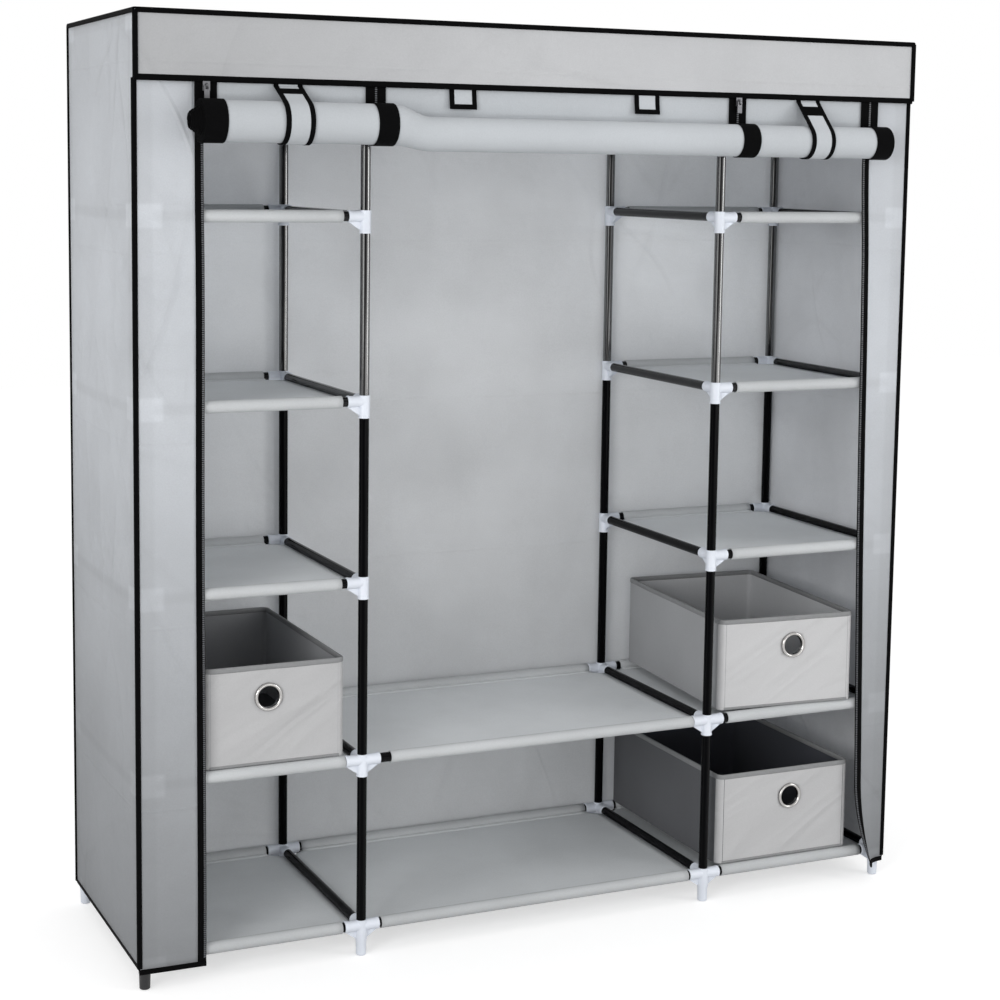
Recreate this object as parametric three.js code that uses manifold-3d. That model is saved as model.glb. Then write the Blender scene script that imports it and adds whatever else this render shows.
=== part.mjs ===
import * as THREE from 'three';
import { mergeVertices } from 'three/addons/utils/BufferGeometryUtils.js';
import Module from 'manifold-3d';

// Portable fabric wardrobe, in millimetres, +Z up, with its open front towards -Y.
// A frame of steel tubes in plastic connectors carries fabric shelves, a hanging rail and a fabric cover.
// The door is rolled up under the valance, so the front flaps, the shelves and three storage boxes show.
// The sizes below are measured from the middle of the frame; the last lines move the origin
// to the floor under the middle of the whole object.

// Frame
const outerPostSpacing = 1475;
const innerPostSpacing = 696;
const postDepthSpacing = 435;
const firstLevelHeight = 54;
const firstRise = 300;
const shelfRise = 316;
const shelfRiseCount = 4;
const fullWidthShelfCount = 2;
const tubeRadius = 8.5;
const tubeWall = 0.8;
const tubeSides = 8;

// Connectors and feet
const connectorWall = 2;
const armLength = 32;
const socketDepth = 18;
const socketGap = 0.3;
const sleeveDrop = 29;
const webDrop = 22;
const webReach = 28;
const webThickness = 3;
const footTipRadius = 9.6;
const footPlug = 14;

// Fabric
const clothThickness = 1.5;
const seatGap = 0.3;
const coverPlay = 1.2;
const hemHeight = 41;
const sideBillow = 5;
const backBillow = 4;
const topSag = 2.4;
const shelfSag = 6;
const shelfSheetDrop = 14;
const tunnelInset = 42;
const tunnelSlack = 0.5;
const shelfEdgeGap = 3;
const shelfNotch = 6;
const panelColumns = 6;
const panelRows = 6;
const topRows = 4;

// Valance and front flaps
const valanceDrop = 108;
const valanceSwell = 1.5;
const valanceWaveCount = 4;
const valanceColumns = 16;
const flapSplitGap = 15;
const flapHemHeight = 34;
const leftFlapWidth = 116;
const rightFlapWidth = 102;
const rightFlapTaper = 32;
const zipTapeWidth = 14;
const flapSwell = 4;
const flapWaveCount = 1.5;
const flapRows = 10;
const curlHeight = 170;
const curlOut = 26;
const curlAside = 26;

// Rolled door
const doorLeftOverlap = 17;
const doorRightOverlap = 27;
const doorLayer = 3;
const rollLeftRadius = 37;
const rollRightRadius = 32;
const rollLeftDrop = 66;
const rollRightDrop = 80;
const rollStepInset = 32;
const rollStepLength = 66;
const rollTurns = 3;
const rollSteps = 16;
const tapeEndStep = 3;
const rollSlack = 0.2;
const coreProtrusion = 16;
const tapeThickness = 1.2;
const outerTapeWidth = 38;
const innerTapeWidth = 36;
const innerTapeLeftAside = 8;
const innerTapeRightAside = 38;

// Tie straps and tabs
const strapWidth = 50;
const strapShare = 0.47;
const strapLead = 7;
const tabSpacing = 358;
const tabDrop = 37;
const tabKick = 5;

// Storage boxes
const boxHeight = 175;
const boxSetBack = 2.5;
const boxBackGap = 9;
const upperBoxSetBack = 10.5;
const upperBoxTurn = 4;
const boxPostGap = 32;
const boxFlapGap = 1.5;
const boxWall = 3;
const boxFloor = 2;
const boxCorner = 14;
const rimHeight = 10;
const rimProud = 1.2;
const boardThickness = 3;
const eyeletRimGap = 22;
const eyeletOutset = 12;
const eyeletRadius = 25;
const eyeletBore = 18;
const eyeletWall = 1.7;
const eyeletBead = 5;
const eyeletFlange = 1.6;
const eyeletSides = 12;

// Zip sliders and pull tabs
const sliderWidth = 12;
const sliderHeight = 15;
const sliderThickness = 5;
const sliderHemGap = 3;
const crownRadius = 4.8;
const crownBore = 2.4;
const crownWidth = 3;
const pullWidth = 9;
const pullLength = 21;
const pullThickness = 1.4;
const pullWindow = 5;

// Hanging rail
const clipLength = 26;

// Cut overrun and rounding
const overrun = 2;
const cornerSegments = 2;
const mergeGap = 0.001;

// Worked-out places
const outerPostX = outerPostSpacing / 2;
const innerPostX = innerPostSpacing / 2;
const postY = postDepthSpacing / 2;
const postXs = [-outerPostX, -innerPostX, innerPostX, outerPostX];
const levels = [firstLevelHeight];
for (let rise = 0; rise <= shelfRiseCount; rise += 1) {
  levels.push(firstLevelHeight + firstRise + rise * shelfRise);
}
const topLevel = levels.length - 1;
const connectorRadius = tubeRadius + connectorWall;
const tunnelRadius = tubeRadius + clothThickness + tunnelSlack;
const sideInner = outerPostX + connectorRadius + coverPlay;
const sideOuter = sideInner + clothThickness;
const frontInner = postY + connectorRadius + coverPlay;
const frontOuter = frontInner + clothThickness;
const topInner = levels[topLevel] + connectorRadius + seatGap;
const topOuter = topInner + clothThickness;
const clothTop = topInner - seatGap;
const valanceHem = topOuter - valanceDrop;

// The door is wider than the gap between the flaps, and rolls up above the free parts of the flaps.
const doorLeft = -(sideOuter - leftFlapWidth + doorLeftOverlap);
const doorRight = sideOuter - rightFlapWidth + doorRightOverlap;
const rollLeftHeight = valanceHem - rollLeftDrop;
const rollRightHeight = valanceHem - rollRightDrop;
const rollStepStart = -(innerPostX - rollStepInset);
const rollStepEnd = rollStepStart + rollStepLength;
const rollBottom = Math.min(rollLeftHeight - rollLeftRadius, rollRightHeight - rollRightRadius);
const flapSplitHeight = rollBottom - flapSplitGap;

// Layers that hang in front of the frame, from the frame outwards
const strapBackFace = -(frontOuter + seatGap);
const doorBackFace = strapBackFace - tapeThickness - seatGap;
const doorFrontFace = doorBackFace - doorLayer;
const tapeMiddle = doorFrontFace - seatGap - tapeThickness / 2;
const tapeFrontFace = tapeMiddle - tapeThickness / 2;
const valanceInner = tapeFrontFace - seatGap;
const valanceOuter = valanceInner - clothThickness;
const rollPitch = doorLayer + tapeThickness + 2 * seatGap + rollSlack;

const colours = {
  steel: { color: 0x1b1c1f, roughness: 0.35, metalness: 0.6 },
  cloth: { color: 0xbfc3c8, roughness: 0.9, metalness: 0 },
  shelfCloth: { color: 0xaeb3b8, roughness: 0.9, metalness: 0 },
  tape: { color: 0x0b0b0c, roughness: 0.7, metalness: 0 },
  plastic: { color: 0xf0f2f4, roughness: 0.4, metalness: 0 },
  boxCloth: { color: 0xc4c4c6, roughness: 0.9, metalness: 0 },
  board: { color: 0x8d8d8f, roughness: 0.8, metalness: 0 },
  chrome: { color: 0xd8d8d8, roughness: 0.15, metalness: 1 },
};

const wasm = await Module();
wasm.setup();
const wardrobe = new THREE.Group();

// Solids

function toSolid(geometry) {
  const bare = geometry.clone();
  bare.deleteAttribute('normal');
  bare.deleteAttribute('uv');
  const merged = mergeVertices(bare, mergeGap);
  const vertProperties = new Float32Array(merged.attributes.position.array);
  const triVerts = new Uint32Array(merged.index.array);
  return new wasm.Manifold(new wasm.Mesh({ numProp: 3, vertProperties, triVerts }));
}

function joined(geometries) {
  return geometries.map(toSolid).reduce((whole, piece) => whole.add(piece));
}

function cutAway(solid, geometries) {
  return geometries.map(toSolid).reduce((rest, piece) => rest.subtract(piece), solid);
}

function addPiece(name, look, solid) {
  const mesh = solid.getMesh();
  const geometry = new THREE.BufferGeometry();
  geometry.setAttribute('position', new THREE.BufferAttribute(new Float32Array(mesh.vertProperties), 3));
  geometry.setIndex(new THREE.BufferAttribute(new Uint32Array(mesh.triVerts), 1));
  geometry.computeVertexNormals();
  const piece = new THREE.Mesh(geometry, new THREE.MeshStandardMaterial(colours[look]));
  piece.name = name;
  wardrobe.add(piece);
}

function block(low, high) {
  const geometry = new THREE.BoxGeometry(high[0] - low[0], high[1] - low[1], high[2] - low[2]);
  geometry.translate((low[0] + high[0]) / 2, (low[1] + high[1]) / 2, (low[2] + high[2]) / 2);
  return geometry;
}

// Turns a shape made about the Y axis so that it runs along the named axis, and puts it in place.
function placeAlong(axis, geometry, middle, point) {
  if (axis === 'x') geometry.rotateZ(-Math.PI / 2);
  if (axis === 'z') geometry.rotateX(Math.PI / 2);
  const centre = { ...point, [axis]: middle };
  geometry.translate(centre.x, centre.y, centre.z);
  return geometry;
}

function rod(axis, radius, from, to, point, sides = tubeSides, farRadius = radius) {
  const geometry = new THREE.CylinderGeometry(farRadius, radius, Math.abs(to - from), sides);
  return placeAlong(axis, geometry, (from + to) / 2, point);
}

// Joins rings of equal point count into one closed body; each ring is a strip of left and right points.
function closedLoft(rings) {
  const count = rings[0].left.length;
  const positions = [];
  for (const ring of rings) {
    for (const point of ring.left) positions.push(...point);
    for (const point of ring.right) positions.push(...point);
  }
  const left = (ring, step) => ring * 2 * count + step;
  const right = (ring, step) => ring * 2 * count + count + step;
  const faces = [];
  const quad = (a, b, c, d) => faces.push(a, b, c, a, c, d);
  const last = rings.length - 1;
  for (let step = 0; step < count - 1; step += 1) {
    for (let ring = 0; ring < last; ring += 1) {
      quad(left(ring, step), left(ring, step + 1), left(ring + 1, step + 1), left(ring + 1, step));
      quad(right(ring, step), right(ring + 1, step), right(ring + 1, step + 1), right(ring, step + 1));
    }
    quad(left(0, step), right(0, step), right(0, step + 1), left(0, step + 1));
    quad(left(last, step), left(last, step + 1), right(last, step + 1), right(last, step));
  }
  for (let ring = 0; ring < last; ring += 1) {
    quad(left(ring, 0), left(ring + 1, 0), right(ring + 1, 0), right(ring, 0));
    const end = count - 1;
    quad(left(ring, end), right(ring, end), right(ring + 1, end), left(ring + 1, end));
  }
  return outward(positions, faces);
}

// Builds a closed body and turns its faces out if they point in.
function outward(positions, faces) {
  const corner = (index) => new THREE.Vector3().fromArray(positions, 3 * index);
  let volume = 0;
  for (let i = 0; i < faces.length; i += 3) {
    volume += corner(faces[i]).dot(corner(faces[i + 1]).cross(corner(faces[i + 2])));
  }
  const turned = volume < 0 ? faces.toReversed() : faces;
  const geometry = new THREE.BufferGeometry();
  geometry.setAttribute('position', new THREE.Float32BufferAttribute(positions, 3));
  geometry.setIndex(turned);
  return geometry;
}

// A sheet of cloth: its inner face as a function of two shares, thickened along one direction.
function sheet(columns, rows, innerAt, thickness) {
  const rings = [];
  for (let row = 0; row <= rows; row += 1) {
    const left = [];
    const right = [];
    for (let column = 0; column <= columns; column += 1) {
      const [x, y, z] = innerAt(column / columns, row / rows);
      left.push([x, y, z]);
      right.push([x + thickness[0], y + thickness[1], z + thickness[2]]);
    }
    rings.push({ left, right });
  }
  return closedLoft(rings);
}

// Both sides of a path in the Y-Z plane, each half a thickness away from it.
function pathSides(path, thickness) {
  const sides = { left: [], right: [] };
  path.forEach(([y, z], index) => {
    const before = path[Math.max(index - 1, 0)];
    const after = path[Math.min(index + 1, path.length - 1)];
    const arriving = new THREE.Vector2(y - before[0], z - before[1]).normalize();
    const leaving = new THREE.Vector2(after[0] - y, after[1] - z).normalize();
    const along = arriving.add(leaving).normalize();
    const reach = thickness / 2 / Math.max(along.dot(leaving.length() ? leaving : along), 0.5);
    sides.left.push([y - along.y * reach, z + along.x * reach]);
    sides.right.push([y + along.y * reach, z - along.x * reach]);
  });
  return sides;
}

// A band of cloth that follows a path in the Y-Z plane and has its width along X.
function ribbon(xFrom, xTo, path, thickness) {
  const { left, right } = pathSides(path, thickness);
  const ring = (x) => ({
    left: left.map(([y, z]) => [x, y, z]),
    right: right.map(([y, z]) => [x, y, z]),
  });
  return closedLoft([ring(xFrom), ring(xTo)]);
}

const halfWave = (share) => Math.sin(Math.PI * share);
const between = (from, to, share) => from + (to - from) * share;

// Frame

// The centre bay has no shelves at hanging height.
function hasWidthTubes(bay, level) {
  return bay !== 1 || level < fullWidthShelfCount || level === topLevel;
}

function armsAt(column, level) {
  const arms = [];
  if (column > 0 && hasWidthTubes(column - 1, level)) arms.push(-1);
  if (column < postXs.length - 1 && hasWidthTubes(column, level)) arms.push(1);
  return arms;
}

function web(axis, direction, point) {
  const section = new THREE.Shape([
    new THREE.Vector2(0, 0),
    new THREE.Vector2(webReach, -connectorRadius / 2),
    new THREE.Vector2(0, -webDrop - connectorRadius / 2),
  ]);
  const geometry = new THREE.ExtrudeGeometry(section, { depth: webThickness, bevelEnabled: false });
  geometry.translate(0, 0, -webThickness / 2);
  geometry.rotateX(Math.PI / 2);
  const turns = { x: { 1: 0, '-1': Math.PI }, y: { 1: Math.PI / 2, '-1': -Math.PI / 2 } };
  geometry.rotateZ(turns[axis][direction]);
  geometry.translate(point.x, point.y, point.z);
  return geometry;
}

function arm(axis, direction, point) {
  const start = point[axis];
  return rod(axis, connectorRadius, start, start + direction * armLength, point);
}

function socket(axis, direction, point) {
  const mouth = point[axis] + direction * (armLength + overrun);
  const floor = point[axis] + direction * (armLength - socketDepth);
  return rod(axis, tubeRadius + socketGap, floor, mouth, point);
}

// One upright with its six connectors and its foot. A front upright also carries the six depth tubes.
function post(column, isFront) {
  const x = postXs[column];
  const y = isFront ? -postY : postY;
  const inwards = isFront ? 1 : -1;
  const top = levels[topLevel] + connectorRadius;
  const solids = [
    rod('z', tubeRadius, levels[0], top, { x, y }),
    rod('z', connectorRadius, levels[0] - webDrop, 0, { x, y }, tubeSides, footTipRadius),
  ];
  const sockets = [];
  levels.forEach((z, level) => {
    const hub = { x, y, z };
    const drop = level === 0 ? webDrop : sleeveDrop;
    solids.push(rod('z', connectorRadius, z - drop, z + connectorRadius, hub));
    for (const direction of armsAt(column, level)) {
      solids.push(arm('x', direction, hub), web('x', direction, hub));
      sockets.push(socket('x', direction, hub));
    }
    solids.push(arm('y', inwards, hub), web('y', inwards, hub));
    if (isFront) {
      const tubeEnd = postY - armLength + socketDepth - socketGap;
      solids.push(rod('y', tubeRadius, -postY, tubeEnd, hub));
    } else {
      sockets.push(socket('y', inwards, hub));
    }
  });
  const bore = rod('z', tubeRadius - tubeWall, footPlug, top + overrun, { x, y });
  return cutAway(joined(solids), [bore, ...sockets]);
}

function widthTubeEnds(bay) {
  const reach = armLength - socketDepth + socketGap;
  return [postXs[bay] + reach, postXs[bay + 1] - reach];
}

function hollowTube(from, to, point) {
  const tube = toSolid(rod('x', tubeRadius, from, to, point));
  return cutAway(tube, [rod('x', tubeRadius - tubeWall, from - overrun, to + overrun, point)]);
}

function addFrame() {
  const columnNames = ['left', 'inner_left', 'inner_right', 'right'];
  columnNames.forEach((columnName, column) => {
    addPiece(`front_post_${columnName}`, 'steel', post(column, true));
    addPiece(`rear_post_${columnName}`, 'steel', post(column, false));
  });
  ['left', 'centre', 'right'].forEach((bayName, bay) => {
    const [from, to] = widthTubeEnds(bay);
    const z = levels[topLevel];
    addPiece(`top_front_tube_${bayName}`, 'steel', hollowTube(from, to, { y: -postY, z }));
    addPiece(`top_rear_tube_${bayName}`, 'steel', hollowTube(from, to, { y: postY, z }));
  });
}

// The rail hangs between two clips that are threaded on the inner depth tubes of the top level.
function addHangingRail() {
  const z = levels[topLevel];
  for (const [side, direction] of [['left', 1], ['right', -1]]) {
    const x = -direction * innerPostX;
    const hub = { x, y: 0, z };
    const body = joined([
      rod('y', connectorRadius, -clipLength / 2, clipLength / 2, hub),
      arm('x', direction, hub),
    ]);
    const cuts = [
      rod('y', tubeRadius + socketGap, -clipLength / 2 - overrun, clipLength / 2 + overrun, hub),
      socket('x', direction, hub),
    ];
    addPiece(`rail_clip_${side}`, 'plastic', cutAway(body, cuts));
  }
  const [from, to] = widthTubeEnds(1);
  addPiece('hanging_rail', 'steel', hollowTube(from, to, { y: 0, z }));
}

// Shelves

// The cloth is sewn to the lower halves of its tunnels, sags between them and is cut back at the connectors.
function shelfSheet(bay, z) {
  const notchY = postY - armLength - shelfNotch;
  const depthStations = [-postY, -notchY, -notchY / 2, 0, notchY / 2, notchY, postY];
  const rings = depthStations.map((y) => {
    const inset = Math.abs(y) > notchY ? tunnelInset : tubeRadius + shelfEdgeGap;
    const top = z + tunnelRadius - shelfSheetDrop - shelfSag * Math.max(0, 1 - (y / notchY) ** 2);
    const xs = [postXs[bay] + inset, postXs[bay + 1] - inset];
    return {
      left: xs.map((x) => [x, y, top]),
      right: xs.map((x) => [x, y, top - clothThickness]),
    };
  });
  return closedLoft(rings);
}

function shelf(bay, level) {
  const z = levels[level];
  const [tubeFrom, tubeTo] = widthTubeEnds(bay);
  const solids = [shelfSheet(bay, z)];
  for (const y of [-postY, postY]) {
    solids.push(rod('x', tubeRadius, tubeFrom, tubeTo, { y, z }));
    solids.push(rod('x', tunnelRadius, postXs[bay] + tunnelInset, postXs[bay + 1] - tunnelInset, { y, z }));
  }
  return joined(solids);
}

function addShelves() {
  ['left', 'centre', 'right'].forEach((bayName, bay) => {
    for (let level = 0; level < topLevel; level += 1) {
      if (!hasWidthTubes(bay, level)) continue;
      addPiece(`shelf_${bayName}_${level + 1}`, 'shelfCloth', shelf(bay, level));
    }
  });
}

// Cover

function sidePanel(side) {
  const panel = sheet(
    panelColumns,
    panelRows,
    (depthShare, heightShare) => [
      side * (sideInner + sideBillow * halfWave(depthShare) * halfWave(heightShare)),
      between(-frontOuter, frontOuter, depthShare),
      between(hemHeight, clothTop, heightShare),
    ],
    [side * clothThickness, 0, 0],
  );
  const freeEdge = flapEdge(side, flapSplitHeight);
  const upperFlap = side < 0
    ? block([-sideOuter, -frontOuter, flapSplitHeight], [freeEdge, -frontInner, clothTop])
    : block([freeEdge, -frontOuter, flapSplitHeight], [sideOuter, -frontInner, clothTop]);
  return joined([panel, upperFlap]);
}

function backPanel() {
  const reach = sideInner - seatGap;
  return toSolid(sheet(
    panelColumns,
    panelRows,
    (widthShare, heightShare) => [
      between(-reach, reach, widthShare),
      frontInner + backBillow * halfWave(widthShare) * halfWave(heightShare),
      between(hemHeight, clothTop, heightShare),
    ],
    [0, clothThickness, 0],
  ));
}

// The top sags in the front and rear halves of each bay, and is held up by the rail and the top tubes.
function topPanel() {
  const stations = [{ x: -sideOuter, sag: 0 }];
  postXs.forEach((x, column) => {
    stations.push({ x, sag: 0 });
    if (column < postXs.length - 1) stations.push({ x: (x + postXs[column + 1]) / 2, sag: topSag });
  });
  stations.push({ x: sideOuter, sag: 0 });
  const columns = stations.length - 1;
  return toSolid(sheet(
    columns,
    topRows,
    (widthShare, depthShare) => {
      const { x, sag } = stations[Math.round(widthShare * columns)];
      const y = between(-frontInner + seatGap, frontOuter, depthShare);
      return [x, y, topInner - sag * Math.abs(Math.sin(2 * Math.PI * depthShare))];
    },
    [0, 0, clothThickness],
  ));
}

// The valance folds over the top front edge and closes both upper corners.
function valance() {
  const band = sheet(
    valanceColumns,
    1,
    (widthShare, heightShare) => {
      const swell = 1 + Math.cos(2 * Math.PI * valanceWaveCount * widthShare);
      return [
        between(-sideOuter, sideOuter, widthShare),
        valanceInner - valanceSwell * halfWave(widthShare) * swell * (1 - heightShare),
        between(valanceHem, topOuter, heightShare),
      ];
    },
    [0, -clothThickness, 0],
  );
  const fold = block([-sideOuter, valanceOuter, topInner], [sideOuter, -frontInner, topOuter]);
  const returns = [-1, 1].map((side) => {
    const [left, right] = [side * sideInner, side * sideOuter].toSorted((a, b) => a - b);
    return block([left, valanceOuter, valanceHem], [right, strapBackFace, topInner + clothThickness / 2]);
  });
  return joined([band, fold, ...returns]);
}

// Front flaps

function flapWidth(side, z) {
  if (side < 0) return leftFlapWidth;
  return rightFlapWidth - rightFlapTaper * (flapSplitHeight - z) / (flapSplitHeight - flapHemHeight);
}

function flapEdge(side, z) {
  return side * (sideOuter - flapWidth(side, z));
}

// A point of a flap's inner face, by its distance from the corner and its height.
function flapPoint(side, distance, z) {
  const share = distance / flapWidth(side, z);
  const wave = flapSwell * share * (1 + Math.sin(2 * Math.PI * flapWaveCount * z / flapSplitHeight)) / 2;
  const curl = side > 0 ? share ** 2 * Math.max(0, 1 - (z - flapHemHeight) / curlHeight) ** 2 : 0;
  const fromTop = Math.min(1, (flapSplitHeight - z) / curlHeight);
  return [
    side * (sideOuter - distance + curlAside * curl),
    -frontInner - wave * fromTop - curlOut * curl,
    z,
  ];
}

function flapStrip(side, fromEdge, toEdge, columns) {
  const start = (z) => (fromEdge === null ? clothThickness + seatGap : flapWidth(side, z) - fromEdge);
  const end = (z) => flapWidth(side, z) - toEdge;
  return toSolid(sheet(
    columns,
    flapRows,
    (widthShare, heightShare) => {
      const z = between(flapHemHeight, flapSplitHeight - seatGap, heightShare);
      return flapPoint(side, between(start(z), end(z), widthShare), z);
    },
    [0, -clothThickness, 0],
  ));
}

function addFlap(side, name) {
  addPiece(`${name}_front_flap`, 'cloth', flapStrip(side, null, zipTapeWidth + seatGap, 3));
  addPiece(`${name}_zip_tape`, 'tape', flapStrip(side, zipTapeWidth, 0, 1));
}

function addCover() {
  addPiece('cover_left_side', 'cloth', sidePanel(-1));
  addPiece('cover_right_side', 'cloth', sidePanel(1));
  addPiece('cover_back', 'cloth', backPanel());
  addPiece('cover_top', 'cloth', topPanel());
  addPiece('front_valance', 'cloth', valance());
  addFlap(-1, 'left');
  addFlap(1, 'right');
}

// Rolled door

// The roll is thicker on the left, where the corner of the door is folded in.
function rollAt(x) {
  const share = THREE.MathUtils.smoothstep(x, rollStepStart, rollStepEnd);
  const radius = between(rollLeftRadius, rollRightRadius, share);
  return { radius, y: doorBackFace - radius, z: between(rollLeftHeight, rollRightHeight, share) };
}

// A point at a winding angle, counted from the back of the roll downwards, off its outer face.
function aroundRoll(roll, angle, distance) {
  const radius = roll.radius - rollPitch * angle / (2 * Math.PI) + distance;
  return [roll.y + radius * Math.cos(angle), roll.z - radius * Math.sin(angle)];
}

const stepAngle = (2 * Math.PI) / rollSteps;

// Points at whole steps of the winding, so that what lies on the roll has its corners over the roll's own.
function stepsAround(roll, fromStep, toStep, distance) {
  const count = Math.abs(toStep - fromStep);
  const points = [];
  for (let step = 0; step <= count; step += 1) {
    points.push(aroundRoll(roll, between(fromStep, toStep, step / count) * stepAngle, distance));
  }
  return points;
}

// The door comes down behind its roll and is wound inwards, under the roll and up its front.
function doorPath(roll) {
  const windings = stepsAround(roll, 0, rollTurns * rollSteps, -doorLayer / 2);
  return [[doorBackFace - doorLayer / 2, clothTop], ...windings];
}

function doorRoll() {
  const ringAt = (x, isLeftEnd) => {
    const { left, right } = pathSides(doorPath(rollAt(x)), doorLayer);
    const xAt = (index) => {
      const innerShare = Math.max(0, (index - 1) / (rollSteps * rollTurns) - 0.5) * 2;
      return isLeftEnd ? x - coreProtrusion * innerShare : x;
    };
    return {
      left: left.map(([y, z], index) => [xAt(index), y, z]),
      right: right.map(([y, z], index) => [xAt(index), y, z]),
    };
  };
  const rings = [ringAt(doorLeft, true)];
  for (const x of [rollStepStart, rollStepEnd, doorRight]) rings.push(ringAt(x, false));
  return toSolid(closedLoft(rings));
}

// A tape hangs down the face of the door, goes in behind the roll and shows again round it.
function doorTape(xFrom, xTo) {
  const roll = rollAt((xFrom + xTo) / 2);
  const off = seatGap + tapeThickness / 2;
  const drop = [[tapeMiddle, clothTop], [tapeMiddle, roll.z + tapeThickness]];
  const hanging = ribbon(xFrom, xTo, drop, tapeThickness);
  const wound = ribbon(xFrom, xTo, stepsAround(roll, rollSteps, tapeEndStep, off), tapeThickness);
  return joined([hanging, wound]);
}

// A strap runs from the top seam over the front of the roll, under it and up again behind the door.
function tieStrap(x) {
  const roll = rollAt(x);
  const off = seatGap + tapeThickness / 2;
  const reach = roll.radius - rollPitch / 2 + off;
  const lead = { y: tapeMiddle, z: valanceHem - strapLead };
  const aim = Math.atan2(lead.z - roll.z, lead.y - roll.y);
  const spread = Math.acos(reach / Math.hypot(lead.z - roll.z, lead.y - roll.y));
  const touch = 2 * Math.PI - aim - spread;
  const path = [
    [lead.y, clothTop],
    [lead.y, lead.z],
    aroundRoll(roll, touch, off),
    ...stepsAround(roll, Math.floor(touch / stepAngle), 0, off),
    [strapBackFace - tapeThickness / 2, clothTop],
  ];
  return toSolid(ribbon(x - strapWidth / 2, x + strapWidth / 2, path, tapeThickness));
}

function shortTab(x) {
  const path = [
    [tapeMiddle, clothTop],
    [tapeMiddle, valanceHem],
    [tapeMiddle - tabKick, valanceHem - tabDrop],
  ];
  return toSolid(ribbon(x - strapWidth / 2, x + strapWidth / 2, path, tapeThickness));
}

// Zip sliders, each with a crown that carries a pull tab on a pin

function sliderPlace(x) {
  const top = valanceHem - sliderHemGap;
  const back = tapeFrontFace - seatGap;
  return { x, front: back - sliderThickness, back, top, z: top - sliderHeight / 2 };
}

function zipSlider(x) {
  const place = sliderPlace(x);
  const body = block(
    [x - sliderWidth / 2, place.front, place.top - sliderHeight],
    [x + sliderWidth / 2, place.back, place.top],
  );
  const hub = { x, y: place.front, z: place.z };
  const crown = rod('x', crownRadius, x - crownWidth / 2, x + crownWidth / 2, hub);
  const eyeHub = { ...hub, y: place.front - crownBore / 2 };
  const eye = rod('x', crownBore, x - crownWidth, x + crownWidth, eyeHub);
  return joined([body, crown]).subtract(toSolid(eye));
}

function pullAxis(x) {
  const place = sliderPlace(x);
  return { y: place.front - crownBore / 2 - pullThickness / 2, z: place.z };
}

// A flat tab with a window; the bar above the window is the pin in the slider's crown.
function pullTab(x) {
  const axis = pullAxis(x);
  const top = axis.z + pullThickness / 2;
  const plate = block(
    [x - pullWidth / 2, axis.y - pullThickness / 2, top - pullLength],
    [x + pullWidth / 2, axis.y + pullThickness / 2, top],
  );
  const window = block(
    [x - pullWindow / 2, axis.y - pullThickness, top - pullThickness - pullWindow],
    [x + pullWindow / 2, axis.y + pullThickness, top - pullThickness],
  );
  return cutAway(toSolid(plate), [window]);
}

function addDoor() {
  const tapes = [
    [doorLeft, doorLeft + outerTapeWidth],
    [-innerPostX - innerTapeLeftAside, innerTapeWidth - innerPostX - innerTapeLeftAside],
    [innerPostX + innerTapeRightAside - innerTapeWidth, innerPostX + innerTapeRightAside],
    [doorRight - outerTapeWidth, doorRight],
  ];
  addPiece('rolled_door', 'cloth', doorRoll());
  tapes.forEach(([from, to], index) => addPiece(`door_zip_tape_${index + 1}`, 'tape', doorTape(from, to)));
  addPiece('tie_strap_left', 'tape', tieStrap(between(tapes[0][1], tapes[1][0], strapShare)));
  addPiece('tie_strap_right', 'tape', tieStrap(between(tapes[3][0], tapes[2][1], strapShare)));
  addPiece('short_tab_left', 'tape', shortTab(-tabSpacing / 2));
  addPiece('short_tab_right', 'tape', shortTab(tabSpacing / 2));
  const sliders = [['left', tapes[0]], ['right', tapes[2]]];
  for (const [side, [from, to]] of sliders) {
    addPiece(`zip_slider_${side}`, 'chrome', zipSlider((from + to) / 2));
    addPiece(`zip_pull_${side}`, 'chrome', pullTab((from + to) / 2));
  }
}

// Storage boxes

function roundedRectangle(low, high, radius) {
  const shape = new THREE.Shape();
  shape.absarc(high[0] - radius, low[1] + radius, radius, -Math.PI / 2, 0);
  shape.absarc(high[0] - radius, high[1] - radius, radius, 0, Math.PI / 2);
  shape.absarc(low[0] + radius, high[1] - radius, radius, Math.PI / 2, Math.PI);
  shape.absarc(low[0] + radius, low[1] + radius, radius, Math.PI, Math.PI * 1.5);
  return shape;
}

function boxPrism(plan, inset, from, to) {
  const low = [plan.left + inset, plan.front + inset];
  const high = [plan.right - inset, plan.back - inset];
  const shape = roundedRectangle(low, high, boxCorner - inset);
  const options = { depth: to - from, bevelEnabled: false, curveSegments: cornerSegments };
  return new THREE.ExtrudeGeometry(shape, options).translate(0, 0, from).applyMatrix4(plan.stance);
}

// A box is drawn square to the frame. Its stance then turns it about its front near corner, in degrees.
function boxPlan(side, level, setBack, turn) {
  const bottom = levels[level] + Math.max(tunnelRadius, connectorRadius) + seatGap;
  const near = side * (innerPostX + boxPostGap);
  const far = flapEdge(side, bottom + boxHeight) - side * boxFlapGap;
  const [left, right] = [near, far].toSorted((a, b) => a - b);
  const front = -postY + setBack;
  const back = frontInner - boxBackGap;
  const top = bottom + boxHeight;
  const eyeletX = (left + right) / 2 + side * eyeletOutset;
  const eyeletZ = top - rimHeight - eyeletRimGap - eyeletRadius;
  const stance = new THREE.Matrix4().makeTranslation(near, front, 0);
  stance.multiply(new THREE.Matrix4().makeRotationZ(-side * THREE.MathUtils.degToRad(turn)));
  stance.multiply(new THREE.Matrix4().makeTranslation(-near, -front, 0));
  return { left, right, front, back, bottom, top, eyeletX, eyeletZ, stance };
}

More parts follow.
